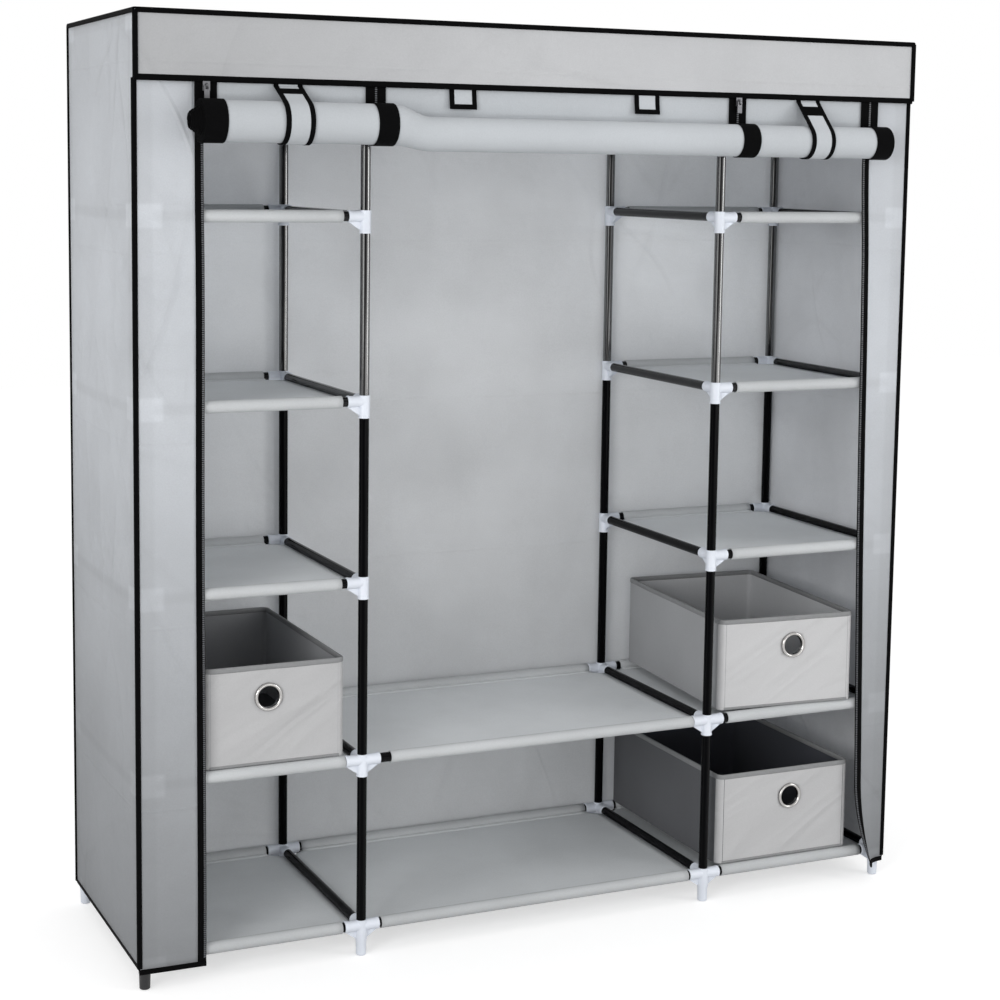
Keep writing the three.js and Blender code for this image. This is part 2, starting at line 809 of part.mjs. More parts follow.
function boxShell(plan) {
  const body = joined([
    boxPrism(plan, 0, plan.bottom, plan.top),
    boxPrism(plan, -rimProud, plan.top - rimHeight, plan.top),
  ]);
  const eye = { x: plan.eyeletX, z: plan.eyeletZ };
  const holeRadius = eyeletBore + eyeletWall + seatGap;
  const hole = rod('y', holeRadius, plan.front - overrun, plan.front + boxWall + overrun, eye, eyeletSides);
  return cutAway(body, [
    boxPrism(plan, boxWall, plan.bottom + boxFloor, plan.top + overrun),
    hole.applyMatrix4(plan.stance),
  ]);
}

// The eyelet grips the front wall between a rounded bead outside and a flat flange inside.
function eyelet(plan) {
  const grip = boxWall / 2 + seatGap;
  const barrel = eyeletBore + eyeletWall;
  const beadMiddle = (eyeletRadius + eyeletBore) / 2;
  const profile = [
    [barrel, grip],
    [eyeletRadius, grip],
    [eyeletRadius, grip + eyeletFlange],
    [eyeletBore, grip + eyeletFlange],
    [eyeletBore, -grip - eyeletBead / 2],
    [beadMiddle, -grip - eyeletBead],
    [eyeletRadius, -grip - eyeletBead / 2],
    [eyeletRadius, -grip],
    [barrel, -grip],
    [barrel, grip],
  ];
  const geometry = new THREE.LatheGeometry(profile.map(([r, y]) => new THREE.Vector2(r, y)), eyeletSides);
  geometry.translate(plan.eyeletX, plan.front + boxWall / 2, plan.eyeletZ);
  return toSolid(geometry.applyMatrix4(plan.stance));
}

function baseBoard(plan) {
  const floor = plan.bottom + boxFloor + seatGap;
  return toSolid(boxPrism(plan, boxWall + seatGap, floor, floor + boardThickness));
}

function addBoxes() {
  const boxes = [
    ['left', boxPlan(-1, 1, boxSetBack, 0)],
    ['right_upper', boxPlan(1, 1, upperBoxSetBack, upperBoxTurn)],
    ['right_lower', boxPlan(1, 0, boxSetBack, 0)],
  ];
  for (const [name, plan] of boxes) {
    addPiece(`storage_box_${name}`, 'boxCloth', boxShell(plan));
    addPiece(`box_eyelet_${name}`, 'chrome', eyelet(plan));
    addPiece(`box_base_board_${name}`, 'board', baseBoard(plan));
  }
}

addFrame();
addHangingRail();
addShelves();
addCover();
addDoor();
addBoxes();

// The origin is under the middle of the whole object, from the front of the roll to the back of the cover.
const thickRoll = rollAt(doorLeft);
const frontReach = -aroundRoll(thickRoll, Math.PI, seatGap + tapeThickness)[0];
const backReach = frontOuter + backBillow;
wardrobe.position.y = (frontReach - backReach) / 2;

export default wardrobe;
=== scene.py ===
import math

import bmesh
import bpy
from mathutils import Matrix, Vector, noise


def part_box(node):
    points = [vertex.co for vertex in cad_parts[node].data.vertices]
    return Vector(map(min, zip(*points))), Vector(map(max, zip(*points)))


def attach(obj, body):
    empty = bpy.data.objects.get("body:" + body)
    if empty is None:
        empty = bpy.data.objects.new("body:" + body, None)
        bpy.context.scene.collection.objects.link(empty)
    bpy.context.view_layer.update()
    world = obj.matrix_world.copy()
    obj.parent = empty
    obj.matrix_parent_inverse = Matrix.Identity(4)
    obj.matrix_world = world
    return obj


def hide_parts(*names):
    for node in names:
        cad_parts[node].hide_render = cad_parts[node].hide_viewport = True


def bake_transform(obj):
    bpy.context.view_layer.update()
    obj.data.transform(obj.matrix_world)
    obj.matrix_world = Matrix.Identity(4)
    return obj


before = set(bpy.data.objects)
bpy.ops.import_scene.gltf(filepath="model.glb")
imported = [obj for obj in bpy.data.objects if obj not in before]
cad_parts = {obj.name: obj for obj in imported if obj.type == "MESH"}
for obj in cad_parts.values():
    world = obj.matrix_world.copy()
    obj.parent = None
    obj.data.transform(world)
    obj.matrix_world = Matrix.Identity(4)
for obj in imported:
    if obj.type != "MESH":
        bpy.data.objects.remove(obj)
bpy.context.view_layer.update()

# Camera, in metres and radians, as fitted to the tubes and cover edges in the photograph
CAMERA_PLACE = Vector((-1.5713, -3.4070, 1.3872))
CAMERA_YAW = 0.4301
CAMERA_PITCH = -0.1146
CAMERA_ROLL = 0.0138
FOCAL_PIXELS = 2019.8
CENTRE_PIXEL = (500, 400)
IMAGE_PIXELS = 1000
SENSOR_MM = 36

# Frame sizes, in metres
TUBE_RADIUS = 0.0085
SOCKET_RADIUS = 0.0098
LIP_RADIUS = 0.0106
LIP_WIDTH = 0.003
ARM_LENGTH = 0.032
SOCKET_DEPTH = 0.018
TUBE_START = ARM_LENGTH - SOCKET_DEPTH + 0.0005
SLEEVE_DROP = 0.029
FOOT_RADIUS = 0.0104
WEB_DROP = 0.023
WEB_THICKNESS = 0.003
TUBE_SIDES = 28

# Cloth sizes, in metres
CLOTH = 0.0012
BINDING_RADIUS = 0.0045
SIDE_BILLOW = 0.005
BACK_BILLOW = 0.004
SHELF_SAG = 0.006
SHEET_DROP = 0.0045
TUNNEL_RADIUS = 0.0101
SEAM_REACH = 0.0195
SHEET_INSET = 0.0072
NOTCH = 0.034
STITCH_PITCH = 0.0065
TOOTH_PITCH = 0.0036

# Bare tube between a tunnel's two ends and the sockets, by level or by bay and level
STUB = 0.010
STUBS = {0: (0.005, 0.005), (1, 1): (0.020, 0.001), (0, 1): (0.010, 0.001), (1, 0): (0.004, 0.004)}

# Door sizes, in metres
DOOR_STAND_OFF = 0.0015
ROLL_PITCH = 0.0026
ROLL_TURNS = 9
ROLL_STEPS = 32
STEP_START = -0.316
STEP_END = -0.250
EDGE_TAPE = 0.036
CORE_LENGTH = 0.018
STRAP_WIDTH = 0.050
STRAP_EDGE = 0.0085

# Flap sizes, in metres
FLAP_WIDTHS = {-1: 0.116, 1: 0.102}
RIGHT_TAPER = 0.032
ZIP_TAPE_WIDTH = 0.015
FLAP_WAVE = 0.004
CURL_HEIGHT = 0.17
CURL_OUT = 0.026
CURL_ASIDE = 0.026

# Box sizes, in metres
BOX_WALL = 0.003
BOX_CORNER = 0.014
RIM_HEIGHT = 0.010
RIM_PROUD = 0.0012
RIM_INSET = 0.0030
BINDING_INSET = 0.0020
UPPER_BOX_TURN = math.radians(4)

# Studio: the floor's shade, what it adds for the camera alone, and the sky's strength low and overhead
FLOOR_SHADE = 0.66
FLOOR_GLOW = 0.54
SKY_LOW = 0.43
SKY_HIGH = 0.86

WARDROBE = "wardrobe"
COLUMNS = ("left", "inner_left", "inner_right", "right")
BAYS = ("left", "centre", "right")


def middle(node):
    low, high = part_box(node)
    return (low + high) / 2


# Places read from the frame
INNER_X = -middle("rear_post_inner_left").x
OUTER_X = -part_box("rear_post_left")[0].x - 0.0105
POST_X = (-OUTER_X, -INNER_X, INNER_X, OUTER_X)
FRONT_Y = middle("top_front_tube_left").y
REAR_Y = middle("top_rear_tube_left").y
MIDDLE_Y = (FRONT_Y + REAR_Y) / 2
POST_REACH = REAR_Y - MIDDLE_Y
LEVELS = [middle(f"shelf_left_{level}").z for level in range(1, 6)] + [middle("hanging_rail").z]
TOP_LEVEL = len(LEVELS) - 1
SIDE_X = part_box("cover_top")[1].x
BACK_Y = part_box("cover_top")[1].y
TOP_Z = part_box("cover_top")[1].z
FRONT_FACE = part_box("cover_left_side")[0].y
HEM_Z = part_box("cover_back")[0].z
FLAP_HEM_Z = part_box("left_front_flap")[0].z
SPLIT_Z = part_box("left_front_flap")[1].z
VALANCE_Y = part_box("front_valance")[0].y
VALANCE_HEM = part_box("front_valance")[0].z
DOOR_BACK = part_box("rolled_door")[1].y
DOOR_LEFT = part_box("door_zip_tape_1")[0].x
DOOR_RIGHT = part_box("rolled_door")[1].x
HANG_TOP = TOP_Z - 0.004
TAPE_Y = DOOR_BACK - 0.0042


# Shapes

class Shape:
    """Points and faces of one piece; a face's slot picks its material."""

    def __init__(self):
        self.points = []
        self.faces = []
        self.slots = []

    def add(self, points, faces, slot=0):
        first = len(self.points)
        self.points += [tuple(point) for point in points]
        self.faces += [tuple(first + index for index in face) for face in faces]
        self.slots += [slot] * len(faces)


def between(start, end, share):
    return start + (end - start) * share


def smooth(share):
    share = min(1.0, max(0.0, share))
    return share * share * (3 - 2 * share)


def half_wave(share):
    return math.sin(math.pi * share)


def ripple(x, y, z=0.0):
    """Smooth noise from about -1 to 1."""
    return noise.noise(Vector((x, y, z)))


def add_grid(shape, columns, rows, point_at, slot_at=None):
    """Adds a sheet of quads. point_at and slot_at take the shares along the columns and rows."""
    points = [
        point_at(column / columns, row / rows)
        for row in range(rows + 1)
        for column in range(columns + 1)
    ]
    first = len(shape.points)
    shape.points += [tuple(point) for point in points]
    for row in range(rows):
        for column in range(columns):
            corner = first + row * (columns + 1) + column
            shape.faces.append((corner, corner + 1, corner + columns + 2, corner + columns + 1))
            slot = slot_at((column + 0.5) / columns, (row + 0.5) / rows) if slot_at else 0
            shape.slots.append(slot)
    return shape


def join_rings(rings, count, closed=False):
    """Faces between rings of points: each joins the next, and the ends are capped or joined too."""
    faces = []
    for ring in range(rings if closed else rings - 1):
        here, there = ring * count, (ring + 1) % rings * count
        for step in range(count):
            after = (step + 1) % count
            faces.append((here + step, here + after, there + after, there + step))
    if not closed:
        faces.append(tuple(range(count)))
        faces.append(tuple((rings - 1) * count + step for step in range(count)))
    return faces


def add_turned(shape, start, axis, profile, sides=TUBE_SIDES, slot=0, closed=False):
    """A profile of (distance along the axis, radius) turned about the axis."""
    axis = Vector(axis).normalized()
    across = axis.orthogonal().normalized()
    upward = axis.cross(across)
    points = []
    for along, radius in profile:
        for side in range(sides):
            turn = 2 * math.pi * side / sides
            spoke = across * math.cos(turn) + upward * math.sin(turn)
            points.append(Vector(start) + axis * along + spoke * radius)
    shape.add(points, join_rings(len(profile), sides, closed), slot)


def add_tube(shape, start, end, radius, slot=0):
    span = Vector(end) - Vector(start)
    add_turned(shape, start, span, [(0, radius), (span.length, radius)], slot=slot)


def add_swept(shape, path, section, slot=0, side_of=(0, 0, 1)):
    """A closed section of (side, other) offsets drawn along a path; side_of points to the side."""
    path = [Vector(point) for point in path]
    points = []
    for index, point in enumerate(path):
        before = path[max(index - 1, 0)]
        after = path[min(index + 1, len(path) - 1)]
        along = (after - before).normalized()
        other = along.cross(Vector(side_of)).normalized()
        side = other.cross(along).normalized()
        points += [point + side * a + other * b for a, b in section]
    shape.add(points, join_rings(len(path), len(section)), slot)


def round_section(width, height, sides=12):
    """A flattened round section, a little squarer than an ellipse."""
    section = []
    for step in range(sides):
        turn = 2 * math.pi * step / sides
        across, upward = math.cos(turn), math.sin(turn)
        side = width / 2 * math.copysign(abs(across) ** 0.7, across)
        section.append((side, height / 2 * math.copysign(abs(upward) ** 0.7, upward)))
    return section


def add_ribbon(shape, x_from, x_to, path, thickness, slot=0):
    """A band that follows a path in the Y-Z plane, with its width along X."""
    across, half = (x_to - x_from) / 2, thickness / 2
    section = [(-across, -half), (across, -half), (across, half), (-across, half)]
    along = [(x_from + across, y, z) for y, z in path]
    add_swept(shape, along, section, slot, side_of=(1, 0, 0))


def add_block(shape, centre, size):
    x, y, z = Vector(size) / 2
    ring = ((-x, -y), (x, -y), (x, y), (-x, y))
    points = [Vector(centre) + Vector((a, b, c)) for c in (-z, z) for a, b in ring]
    shape.add(points, join_rings(2, len(ring)))


def piece(name, shape, materials, body=WARDROBE, stands_for=(), sheet=False, crisp=35):
    """Makes an object of a shape and lets it ride on a body. A sheet keeps its own face directions."""
    mesh = bpy.data.meshes.new(name)
    mesh.from_pydata(shape.points, [], shape.faces)
    for material in materials:
        mesh.materials.append(material)
    mesh.polygons.foreach_set("material_index", shape.slots)
    if not sheet:
        faces = bmesh.new()
        faces.from_mesh(mesh)
        bmesh.ops.recalc_face_normals(faces, faces=faces.faces)
        faces.to_mesh(mesh)
        faces.free()
    mesh.shade_smooth()
    mesh.set_sharp_from_angle(angle=math.radians(crisp))
    made = bpy.data.objects.new(name, mesh)
    bpy.context.scene.collection.objects.link(made)
    if body:
        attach(made, body)
    if stands_for:
        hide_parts(*stands_for)
    return made


def thicken(made, thickness=CLOTH, far_side=0):
    """Gives a sheet its thickness. far_side counts from each face's slot to its other side's material."""
    solid = made.modifiers.new("thickness", "SOLIDIFY")
    solid.thickness = thickness
    solid.offset = 0
    solid.material_offset = far_side
    return made


def dress(node, material):
    """Gives a material to a solid that shows as the frame has it."""
    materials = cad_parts[node].data.materials
    materials.clear()
    materials.append(material)


def soften(made, width, segments=2):
    bevel = made.modifiers.new("edges", "BEVEL")
    bevel.width = width
    bevel.segments = segments
    bevel.limit_method = "ANGLE"
    bevel.angle_limit = math.radians(40)
    return made


# Materials

def linear(red, green, blue):
    """A colour as seen in the photograph, from 0 to 255, turned into light values."""
    return tuple(((value / 255 + 0.055) / 1.055) ** 2.4 for value in (red, green, blue))


def add_node(tree, kind, inputs=None, **settings):
    """Adds a node; each of its inputs is a value or another node's output."""
    made = tree.nodes.new(kind)
    for key, value in settings.items():
        setattr(made, key, value)
    for key, value in (inputs or {}).items():
        if isinstance(value, bpy.types.NodeSocket):
            tree.links.new(value, made.inputs[key])
        else:
            made.inputs[key].default_value = value
    return made


class Look:
    """A material and short ways to add nodes to it. Its colour is in light values."""

    def __init__(self, name, colour, roughness, **sockets):
        self.material = bpy.data.materials.new(name)
        self.material.use_nodes = True
        self.tree = self.material.node_tree
        self.shader = self.tree.nodes["Principled BSDF"]
        self.colour = colour
        self.shader.inputs["Base Color"].default_value = (*colour, 1)
        self.shader.inputs["Roughness"].default_value = roughness
        for socket, value in sockets.items():
            self.shader.inputs[socket.replace("_", " ")].default_value = value
        self.place = self.node("ShaderNodeTexCoord").outputs["Object"]
        self.normal = None
        self.brightness = None
        self.shade = None

    def node(self, kind, inputs=None, **settings):
        return add_node(self.tree, kind, inputs, **settings)

    def noise(self, scale, detail=2.0, stretch=(1, 1, 1), turn=None, distortion=0.0):
        """Noise in the object's space, which is turned first and then stretched."""
        place = self.place
        if turn:
            place = self.node("ShaderNodeMapping", {"Vector": place, "Rotation": turn}).outputs["Vector"]
        place = self.node("ShaderNodeMapping", {"Vector": place, "Scale": stretch}).outputs["Vector"]
        inputs = {"Vector": place, "Scale": scale, "Detail": detail, "Distortion": distortion}
        return self.node("ShaderNodeTexNoise", inputs).outputs["Fac"]

    def cells(self, scale):
        inputs = {"Vector": self.place, "Scale": scale}
        return self.node("ShaderNodeTexVoronoi", inputs).outputs["Distance"]

    def fibres(self, depth):
        """Matted fibres and a fine embossed dot."""
        matted = self.noise(420.0, 4.0)
        self.tone(matted, 1 - depth, 1 + depth)
        self.bump(self.cells(620.0), 0.00018, 0.5)
        self.bump(matted, 0.00025, 0.5)

    def weave(self, pitch, axis):
        inputs = {"Vector": self.place, "Scale": math.pi / 10 / pitch, "Distortion": 0.4, "Detail": 1.0}
        return self.node("ShaderNodeTexWave", inputs, bands_direction=axis).outputs["Fac"]

    def combine(self, operation, first, second=0.0):
        return self.node("ShaderNodeMath", {0: first, 1: second}, operation=operation).outputs[0]

    def off(self, value, place):
        """How far a value is from a place, to either side."""
        return self.combine("ABSOLUTE", self.combine("SUBTRACT", value, place))

    def spread(self, value, start, end, at_start=1.0, at_end=0.0):
        """Turns a value that runs from start to end into one that runs between two other values."""
        inputs = {"Value": value, "From Min": start, "From Max": end, "To Min": at_start, "To Max": at_end}
        return self.node("ShaderNodeMapRange", inputs).outputs["Result"]

    def along(self, axis):
        return self.node("ShaderNodeSeparateXYZ", {"Vector": self.place}).outputs[axis]

    def folds(self, axis, pitch, width):
        """Thin lines where the cloth was folded in its packet."""
        away = self.combine("PINGPONG", self.along(axis), pitch / 2)
        return self.combine("MULTIPLY", self.spread(away, 0.0, width), self.noise(7, 2))

    def creases(self, scale, slant, sharp):
        """Long thin lines on a slant, left by handling, which come and go."""
        field = self.noise(scale, 1.0, (1, 1, 0.14), turn=(slant, slant, 0))
        away = self.off(field, 0.5)
        shown = self.spread(self.noise(2.3, 2.0), 0.46, 0.62, 0.0, 1.0)
        return self.combine("MULTIPLY", self.spread(away, 0.0, sharp), shown)

    def tone(self, factor, darkest, lightest):
        """Multiplies the colour by a brightness that runs between two values."""
        step = self.spread(factor, 0.0, 1.0, darkest, lightest)
        self.brightness = self.combine("MULTIPLY", self.brightness, step) if self.brightness else step
        inputs = {0: self.colour, "Scale": self.brightness}
        self.shade = self.node("ShaderNodeVectorMath", inputs, operation="SCALE").outputs[0]
        self.tree.links.new(self.shade, self.shader.inputs["Base Color"])

    def let_through(self, share):
        """Passes a share of the light on to the other side, as thin cloth does."""
        thin = self.node("ShaderNodeBsdfTranslucent", {"Color": self.shade, "Normal": self.normal})
        both = self.node("ShaderNodeMixShader", {0: share})
        self.tree.links.new(self.shader.outputs[0], both.inputs[1])
        self.tree.links.new(thin.outputs[0], both.inputs[2])
        self.tree.links.new(both.outputs[0], self.tree.nodes["Material Output"].inputs["Surface"])

    def gloss(self, factor, smoothest, roughest):
        rough = self.spread(factor, 0.0, 1.0, smoothest, roughest)
        self.tree.links.new(rough, self.shader.inputs["Roughness"])

    def bump(self, height, distance, strength=1.0):
        inputs = {"Height": height, "Distance": distance, "Strength": strength}
        if self.normal:
            inputs["Normal"] = self.normal
        self.normal = self.node("ShaderNodeBump", inputs).outputs["Normal"]
        self.tree.links.new(self.normal, self.shader.inputs["Normal"])
        return self


def unwoven(name, colour, blotch=0.05, creased=True, painted_frame_show_through=False, thin=0.0, painted_shade_low=1.0,
            low_span=(0.02, 1.0), painted_shade_left=1.0, painted_shade_middle=1.0, painted_shade_tunnels=1.0):
    """Thermally bonded cloth with soft folds and creases. Its settings can paint shade into the colour:
    towards the floor, to the left, in the middle and near the shelf tunnels.
    """
    look = Look(name, linear(*colour), 0.86, Sheen_Weight=0.1, Sheen_Roughness=0.5, Specular_IOR_Level=0.2)
    look.tone(look.noise(5.0, 6.0), 1 - 2 * blotch, 1 + 2 * blotch)
    look.fibres(0.07)
    if creased:
        for slant, scale in ((0.45, 4.2), (-0.25, 3.1), (1.35, 3.6)):
            lines = look.creases(scale, slant, 0.02)
            # The crease lines are painted a little darker, a painted shade.
            look.tone(lines, 1.0, 0.975)
            look.bump(lines, 0.0016, 0.7)
        look.bump(look.noise(3.2, 4.0, (1.0, 1.0, 0.5)), 0.026, 0.7)
        look.bump(look.noise(9.0, 3.0, (1.0, 1.0, 1.6)), 0.009, 0.7)
        look.bump(look.folds("Z", 0.31, 0.004), 0.0012, 0.7)
    # Painted shade: the colour darkens towards the floor, to the left, in the middle and near the tunnels,
    # as each setting asks.
    if painted_shade_low < 1:
        look.tone(look.spread(look.along("Z"), *low_span, 0.0, 1.0), painted_shade_low, 1.0)
    if painted_shade_left < 1:
        look.tone(look.spread(look.along("X"), -SIDE_X, 0.0, 0.0, 1.0), painted_shade_left, 1.0)
    if painted_shade_middle < 1:
        aside = look.combine("ABSOLUTE", look.along("X"))
        look.tone(look.spread(aside, 0.2, INNER_X, 0.0, 1.0), painted_shade_middle, 1.0)
    if painted_shade_tunnels < 1:
        away = look.off(look.along("Y"), MIDDLE_Y)
        look.tone(look.spread(away, POST_REACH - SEAM_REACH, POST_REACH - 0.008), painted_shade_tunnels, 1.0)
    if painted_frame_show_through:
        paint_frame_show_through(look)
    if thin:
        look.let_through(thin)
    return look.material


def paint_frame_show_through(look):
    """Painted shade where a tube lies close behind the thin cloth, and painted light at the white
    connectors.
    """
    x_gap = look.off(look.combine("ABSOLUTE", look.along("X")), OUTER_X)
    y_gap = look.off(look.off(look.along("Y"), MIDDLE_Y), POST_REACH)
    post_gap = look.combine("MAXIMUM", x_gap, y_gap)
    above = look.combine("SUBTRACT", look.along("Z"), LEVELS[1])
    level_gap = look.combine("PINGPONG", above, (LEVELS[2] - LEVELS[1]) / 2)
    tube = look.combine("MAXIMUM", look.spread(level_gap, 0.005, 0.012), look.spread(post_gap, 0.014, 0.021))
    # Painted shade along the tubes behind the cloth.
    look.tone(tube, 1.0, 0.955)
    near_level = look.spread(level_gap, 0.017, 0.022)
    patch = look.combine("MULTIPLY", near_level, look.spread(post_gap, 0.030, 0.036))
    # Painted light at the white connectors.
    look.tone(patch, 1.0, 1.10)


def woven(name, colour, pitch=0.0011, roughness=0.75, lint=0.35):
    """Woven band or binding: fine ribs, a little lint."""
    look = Look(name, linear(*colour), roughness, Specular_IOR_Level=0.04)
    look.tone(look.noise(160.0, 3.0), 1 - lint, 1 + lint)
    look.bump(look.weave(pitch, "X"), 0.0002, 0.5)
    look.bump(look.weave(pitch, "Z"), 0.0002, 0.5)
    return look.material


def painted_steel(name, density, shine, low_shade_share):
    """Black gloss paint, deepest where it faces the eye, and in the lower lengths, which get little light,
    where its gloss is turned down as a painted shade.
    """
    look = Look(name, linear(6, 6, 8), 0.12, IOR=density)
    look.tone(look.noise(30.0, 4.0), 0.8, 1.25)
    look.gloss(look.noise(60.0, 3.0), 0.08, 0.15)
    facing = look.node("ShaderNodeLayerWeight", {"Blend": 0.5}).outputs["Facing"]
    aside = look.spread(facing, 0.0, 0.16, 0.03 * shine, shine)
    # Painted shade: less gloss below the fourth level.
    height = look.spread(look.along("Z"), LEVELS[3] - 0.03, LEVELS[3], low_shade_share, 1.0)
    look.tree.links.new(look.combine("MULTIPLY", aside, height), look.shader.inputs["Specular IOR Level"])
    look.bump(look.noise(700.0, 2.0), 0.00001, 0.3)
    return look.material


def moulded(name, colour, roughness=0.36):
    look = Look(name, linear(*colour), roughness, Specular_IOR_Level=0.5)
    look.tone(look.noise(24.0, 3.0), 0.95, 1.04)
    look.gloss(look.noise(90.0, 3.0), roughness - 0.06, roughness + 0.1)
    look.bump(look.noise(380.0, 2.0), 0.00006, 0.5)
    return look.material


def plated(name, colour, roughness):
    look = Look(name, colour, roughness, Metallic=1.0)
    look.gloss(look.noise(70.0, 4.0), roughness * 0.7, roughness * 1.6)
    look.bump(look.noise(500.0, 2.0), 0.00003, 0.4)
    return look.material


def fibreboard():
    look = Look("base board", linear(70, 70, 72), 0.8)
    look.tone(look.noise(120.0, 5.0), 0.85, 1.15)
    look.bump(look.cells(500.0), 0.0002, 0.5)
    return look.material


def boxed(name, colour):
    """Cloth over board, with the slanting ripples of cloth that isn't glued down."""
    look = Look(name, linear(*colour), 0.86, Sheen_Weight=0.1, Specular_IOR_Level=0.2)
    ripples = look.noise(11.0, 2.0, (0.35, 1, 1.5), turn=(0, 0.55, 0), distortion=0.6)
    # The ripples are painted lighter and darker along with their bumps, a painted light and shade.
    look.tone(ripples, 0.95, 1.05)
    look.fibres(0.06)
    look.bump(ripples, 0.012, 0.8)
    return look.material


def box_cloths(name, front, side, lining):
    """The three materials of a box's walls, in the order of their slots."""
    return [
        boxed(f"{name} box front cloth", front),
        unwoven(f"{name} box side cloth", side, blotch=0.07, creased=False),
        unwoven(f"{name} box lining", lining, creased=False),
    ]


# Painted shade: the cover cloth darkens towards the floor, the rear cover less so.
COVER = unwoven("cover cloth", (221, 224, 228), painted_shade_low=0.48, painted_frame_show_through=True, thin=0.35)
COVER_REAR = unwoven("rear cover cloth", (221, 224, 228), painted_shade_low=0.8, painted_frame_show_through=True, thin=0.35)
COVER_INSIDE = unwoven("cover cloth inside", (216, 217, 219), blotch=0.10, thin=0.4)
# Painted shade: the valance darkens towards its left end.
VALANCE = unwoven("valance cloth", (190, 191, 193), painted_shade_left=0.78)
# The back cloth is paler than the cover cloth, painted light, and darkens below its upper part and towards
# the middle, painted shade.
BACK = unwoven("back cloth", (246, 247, 248), blotch=0.06, thin=0.4, painted_shade_low=0.84,
               low_span=(0.8, 1.3), painted_shade_middle=0.9)
# The shelf cloth is paler than the cover cloth, painted light, and darkens on the lowest shelves and near
# the tunnels, painted shade.
SHELF = unwoven("shelf cloth", (236, 239, 241), blotch=0.07, creased=False, thin=0.12,
                painted_shade_low=0.9, low_span=(0.1, 0.3), painted_shade_tunnels=0.7)
# Painted shade: the door cloth darkens towards its left end.
DOOR = unwoven("door cloth", (190, 194, 198), blotch=0.05, creased=False, painted_shade_left=0.9)
# Painted light and shade: each box has its own lighter or darker copies of the same cloths, darkest at the
# lower right box under the shelf and palest inside the upper right box.
BOX_CLOTHS = {
    "left": box_cloths("left", (181, 181, 182), (168, 169, 171), (160, 161, 164)),
    "right_upper": box_cloths("upper", (194, 194, 195), (160, 161, 163), (200, 201, 203)),
    "right_lower": box_cloths("lower", (184, 184, 185), (94, 95, 98), (70, 72, 79)),
}
BOX_TRIM = woven("box binding", (140, 141, 142), 0.0014, 0.85, lint=0.1)
BINDING = woven("black binding", (5, 5, 6))
TAPE = woven("zip tape", (6, 6, 7), 0.0009)
STEEL = painted_steel("painted steel", 1.5, 0.3, 0.3)
# The posts have their own copy of the same paint, with far more gloss at their sides, a painted highlight,
# and hardly any in their lower lengths, a painted shade.
POST_STEEL = painted_steel("painted steel of the posts", 1.9, 1.0, 0.03)
WHITE_PLASTIC = moulded("white plastic", (220, 225, 234))
BLACK_PLASTIC = moulded("black plastic", (18, 18, 20), 0.4)
# The teeth's mid grey stands in for glints on them, a painted glint.
ZIP_TEETH = moulded("zip teeth", (84, 86, 90), 0.26)
THREAD = woven("white thread", (222, 225, 229), 0.0006)
CHROME = plated("chrome", (0.42, 0.41, 0.40), 0.12)
NICKEL = plated("zip nickel", (0.16, 0.16, 0.17), 0.34)
BOARD = fibreboard()


# Frame

def has_width_tubes(bay, level):
    return bay != 1 or level < 2 or level == TOP_LEVEL


def arms_at(column, level):
    """The sides, -1 and 1 along X, to which a post has an arm."""
    bays = ((-1, column - 1), (1, column))
    return [side for side, bay in bays if 0 <= bay < len(BAYS) and has_width_tubes(bay, level)]


def add_arm(shape, hub, direction):
    """A socket with a rolled lip, open at its end, where a tube plugs in."""
    floor = ARM_LENGTH - SOCKET_DEPTH
    profile = [
        (0, SOCKET_RADIUS),
        (ARM_LENGTH - 2 * LIP_WIDTH, SOCKET_RADIUS),
        (ARM_LENGTH - LIP_WIDTH * 1.2, LIP_RADIUS),
        (ARM_LENGTH - LIP_WIDTH * 0.2, LIP_RADIUS),
        (ARM_LENGTH, LIP_RADIUS * 0.97),
        (ARM_LENGTH, TUBE_RADIUS + 0.0001),
        (floor, TUBE_RADIUS + 0.0001),
    ]
    add_turned(shape, hub, direction, profile)


def add_web(shape, hub, direction):
    """The thin rib under an arm, down to the sleeve."""
    direction = Vector(direction)
    aside = direction.cross(Vector((0, 0, 1))) * WEB_THICKNESS / 2
    corners = [
        direction * (ARM_LENGTH - LIP_WIDTH) - Vector((0, 0, SOCKET_RADIUS * 0.6)),
        direction * (ARM_LENGTH - LIP_WIDTH) - Vector((0, 0, SOCKET_RADIUS + 0.001)),
        direction * (SOCKET_RADIUS + 0.001) - Vector((0, 0, WEB_DROP)),
        direction * SOCKET_RADIUS * 0.5 - Vector((0, 0, WEB_DROP)),
        direction * SOCKET_RADIUS * 0.5,
    ]
    points = [Vector(hub) + corner + aside * side for side in (-1, 1) for corner in corners]
    shape.add(points, join_rings(2, len(corners)))


def connector(column, y, inward, level):
    """The moulded tee or cross at one level of an upright, with its foot at the lowest level."""
    shape = Shape()
    x, z = POST_X[column], LEVELS[level]
    hub = (x, y, z)
    if level == 0:
        foot = [
            (0, 0.0078),
            (0.0014, 0.0092),
            (0.026, 0.0098),
            (0.028, FOOT_RADIUS),
            (z - 0.006, FOOT_RADIUS),
            (z + 0.0099, FOOT_RADIUS),
            (z + LIP_RADIUS, 0.0098),
        ]
        add_turned(shape, (x, y, 0), (0, 0, 1), foot)
    else:
        sleeve = [
            (-SLEEVE_DROP, LIP_RADIUS * 0.98),
            (-SLEEVE_DROP + 0.002, LIP_RADIUS),
            (-SLEEVE_DROP + 0.0035, SOCKET_RADIUS),
            (0.0099, SOCKET_RADIUS + 0.0003),
            (LIP_RADIUS, SOCKET_RADIUS - 0.0004),
        ]
        add_turned(shape, hub, (0, 0, 1), sleeve)
    directions = [(arm, 0, 0) for arm in arms_at(column, level)] + [(0, inward, 0)]
    for direction in directions:
        add_arm(shape, hub, direction)
        add_web(shape, hub, direction)
    return shape


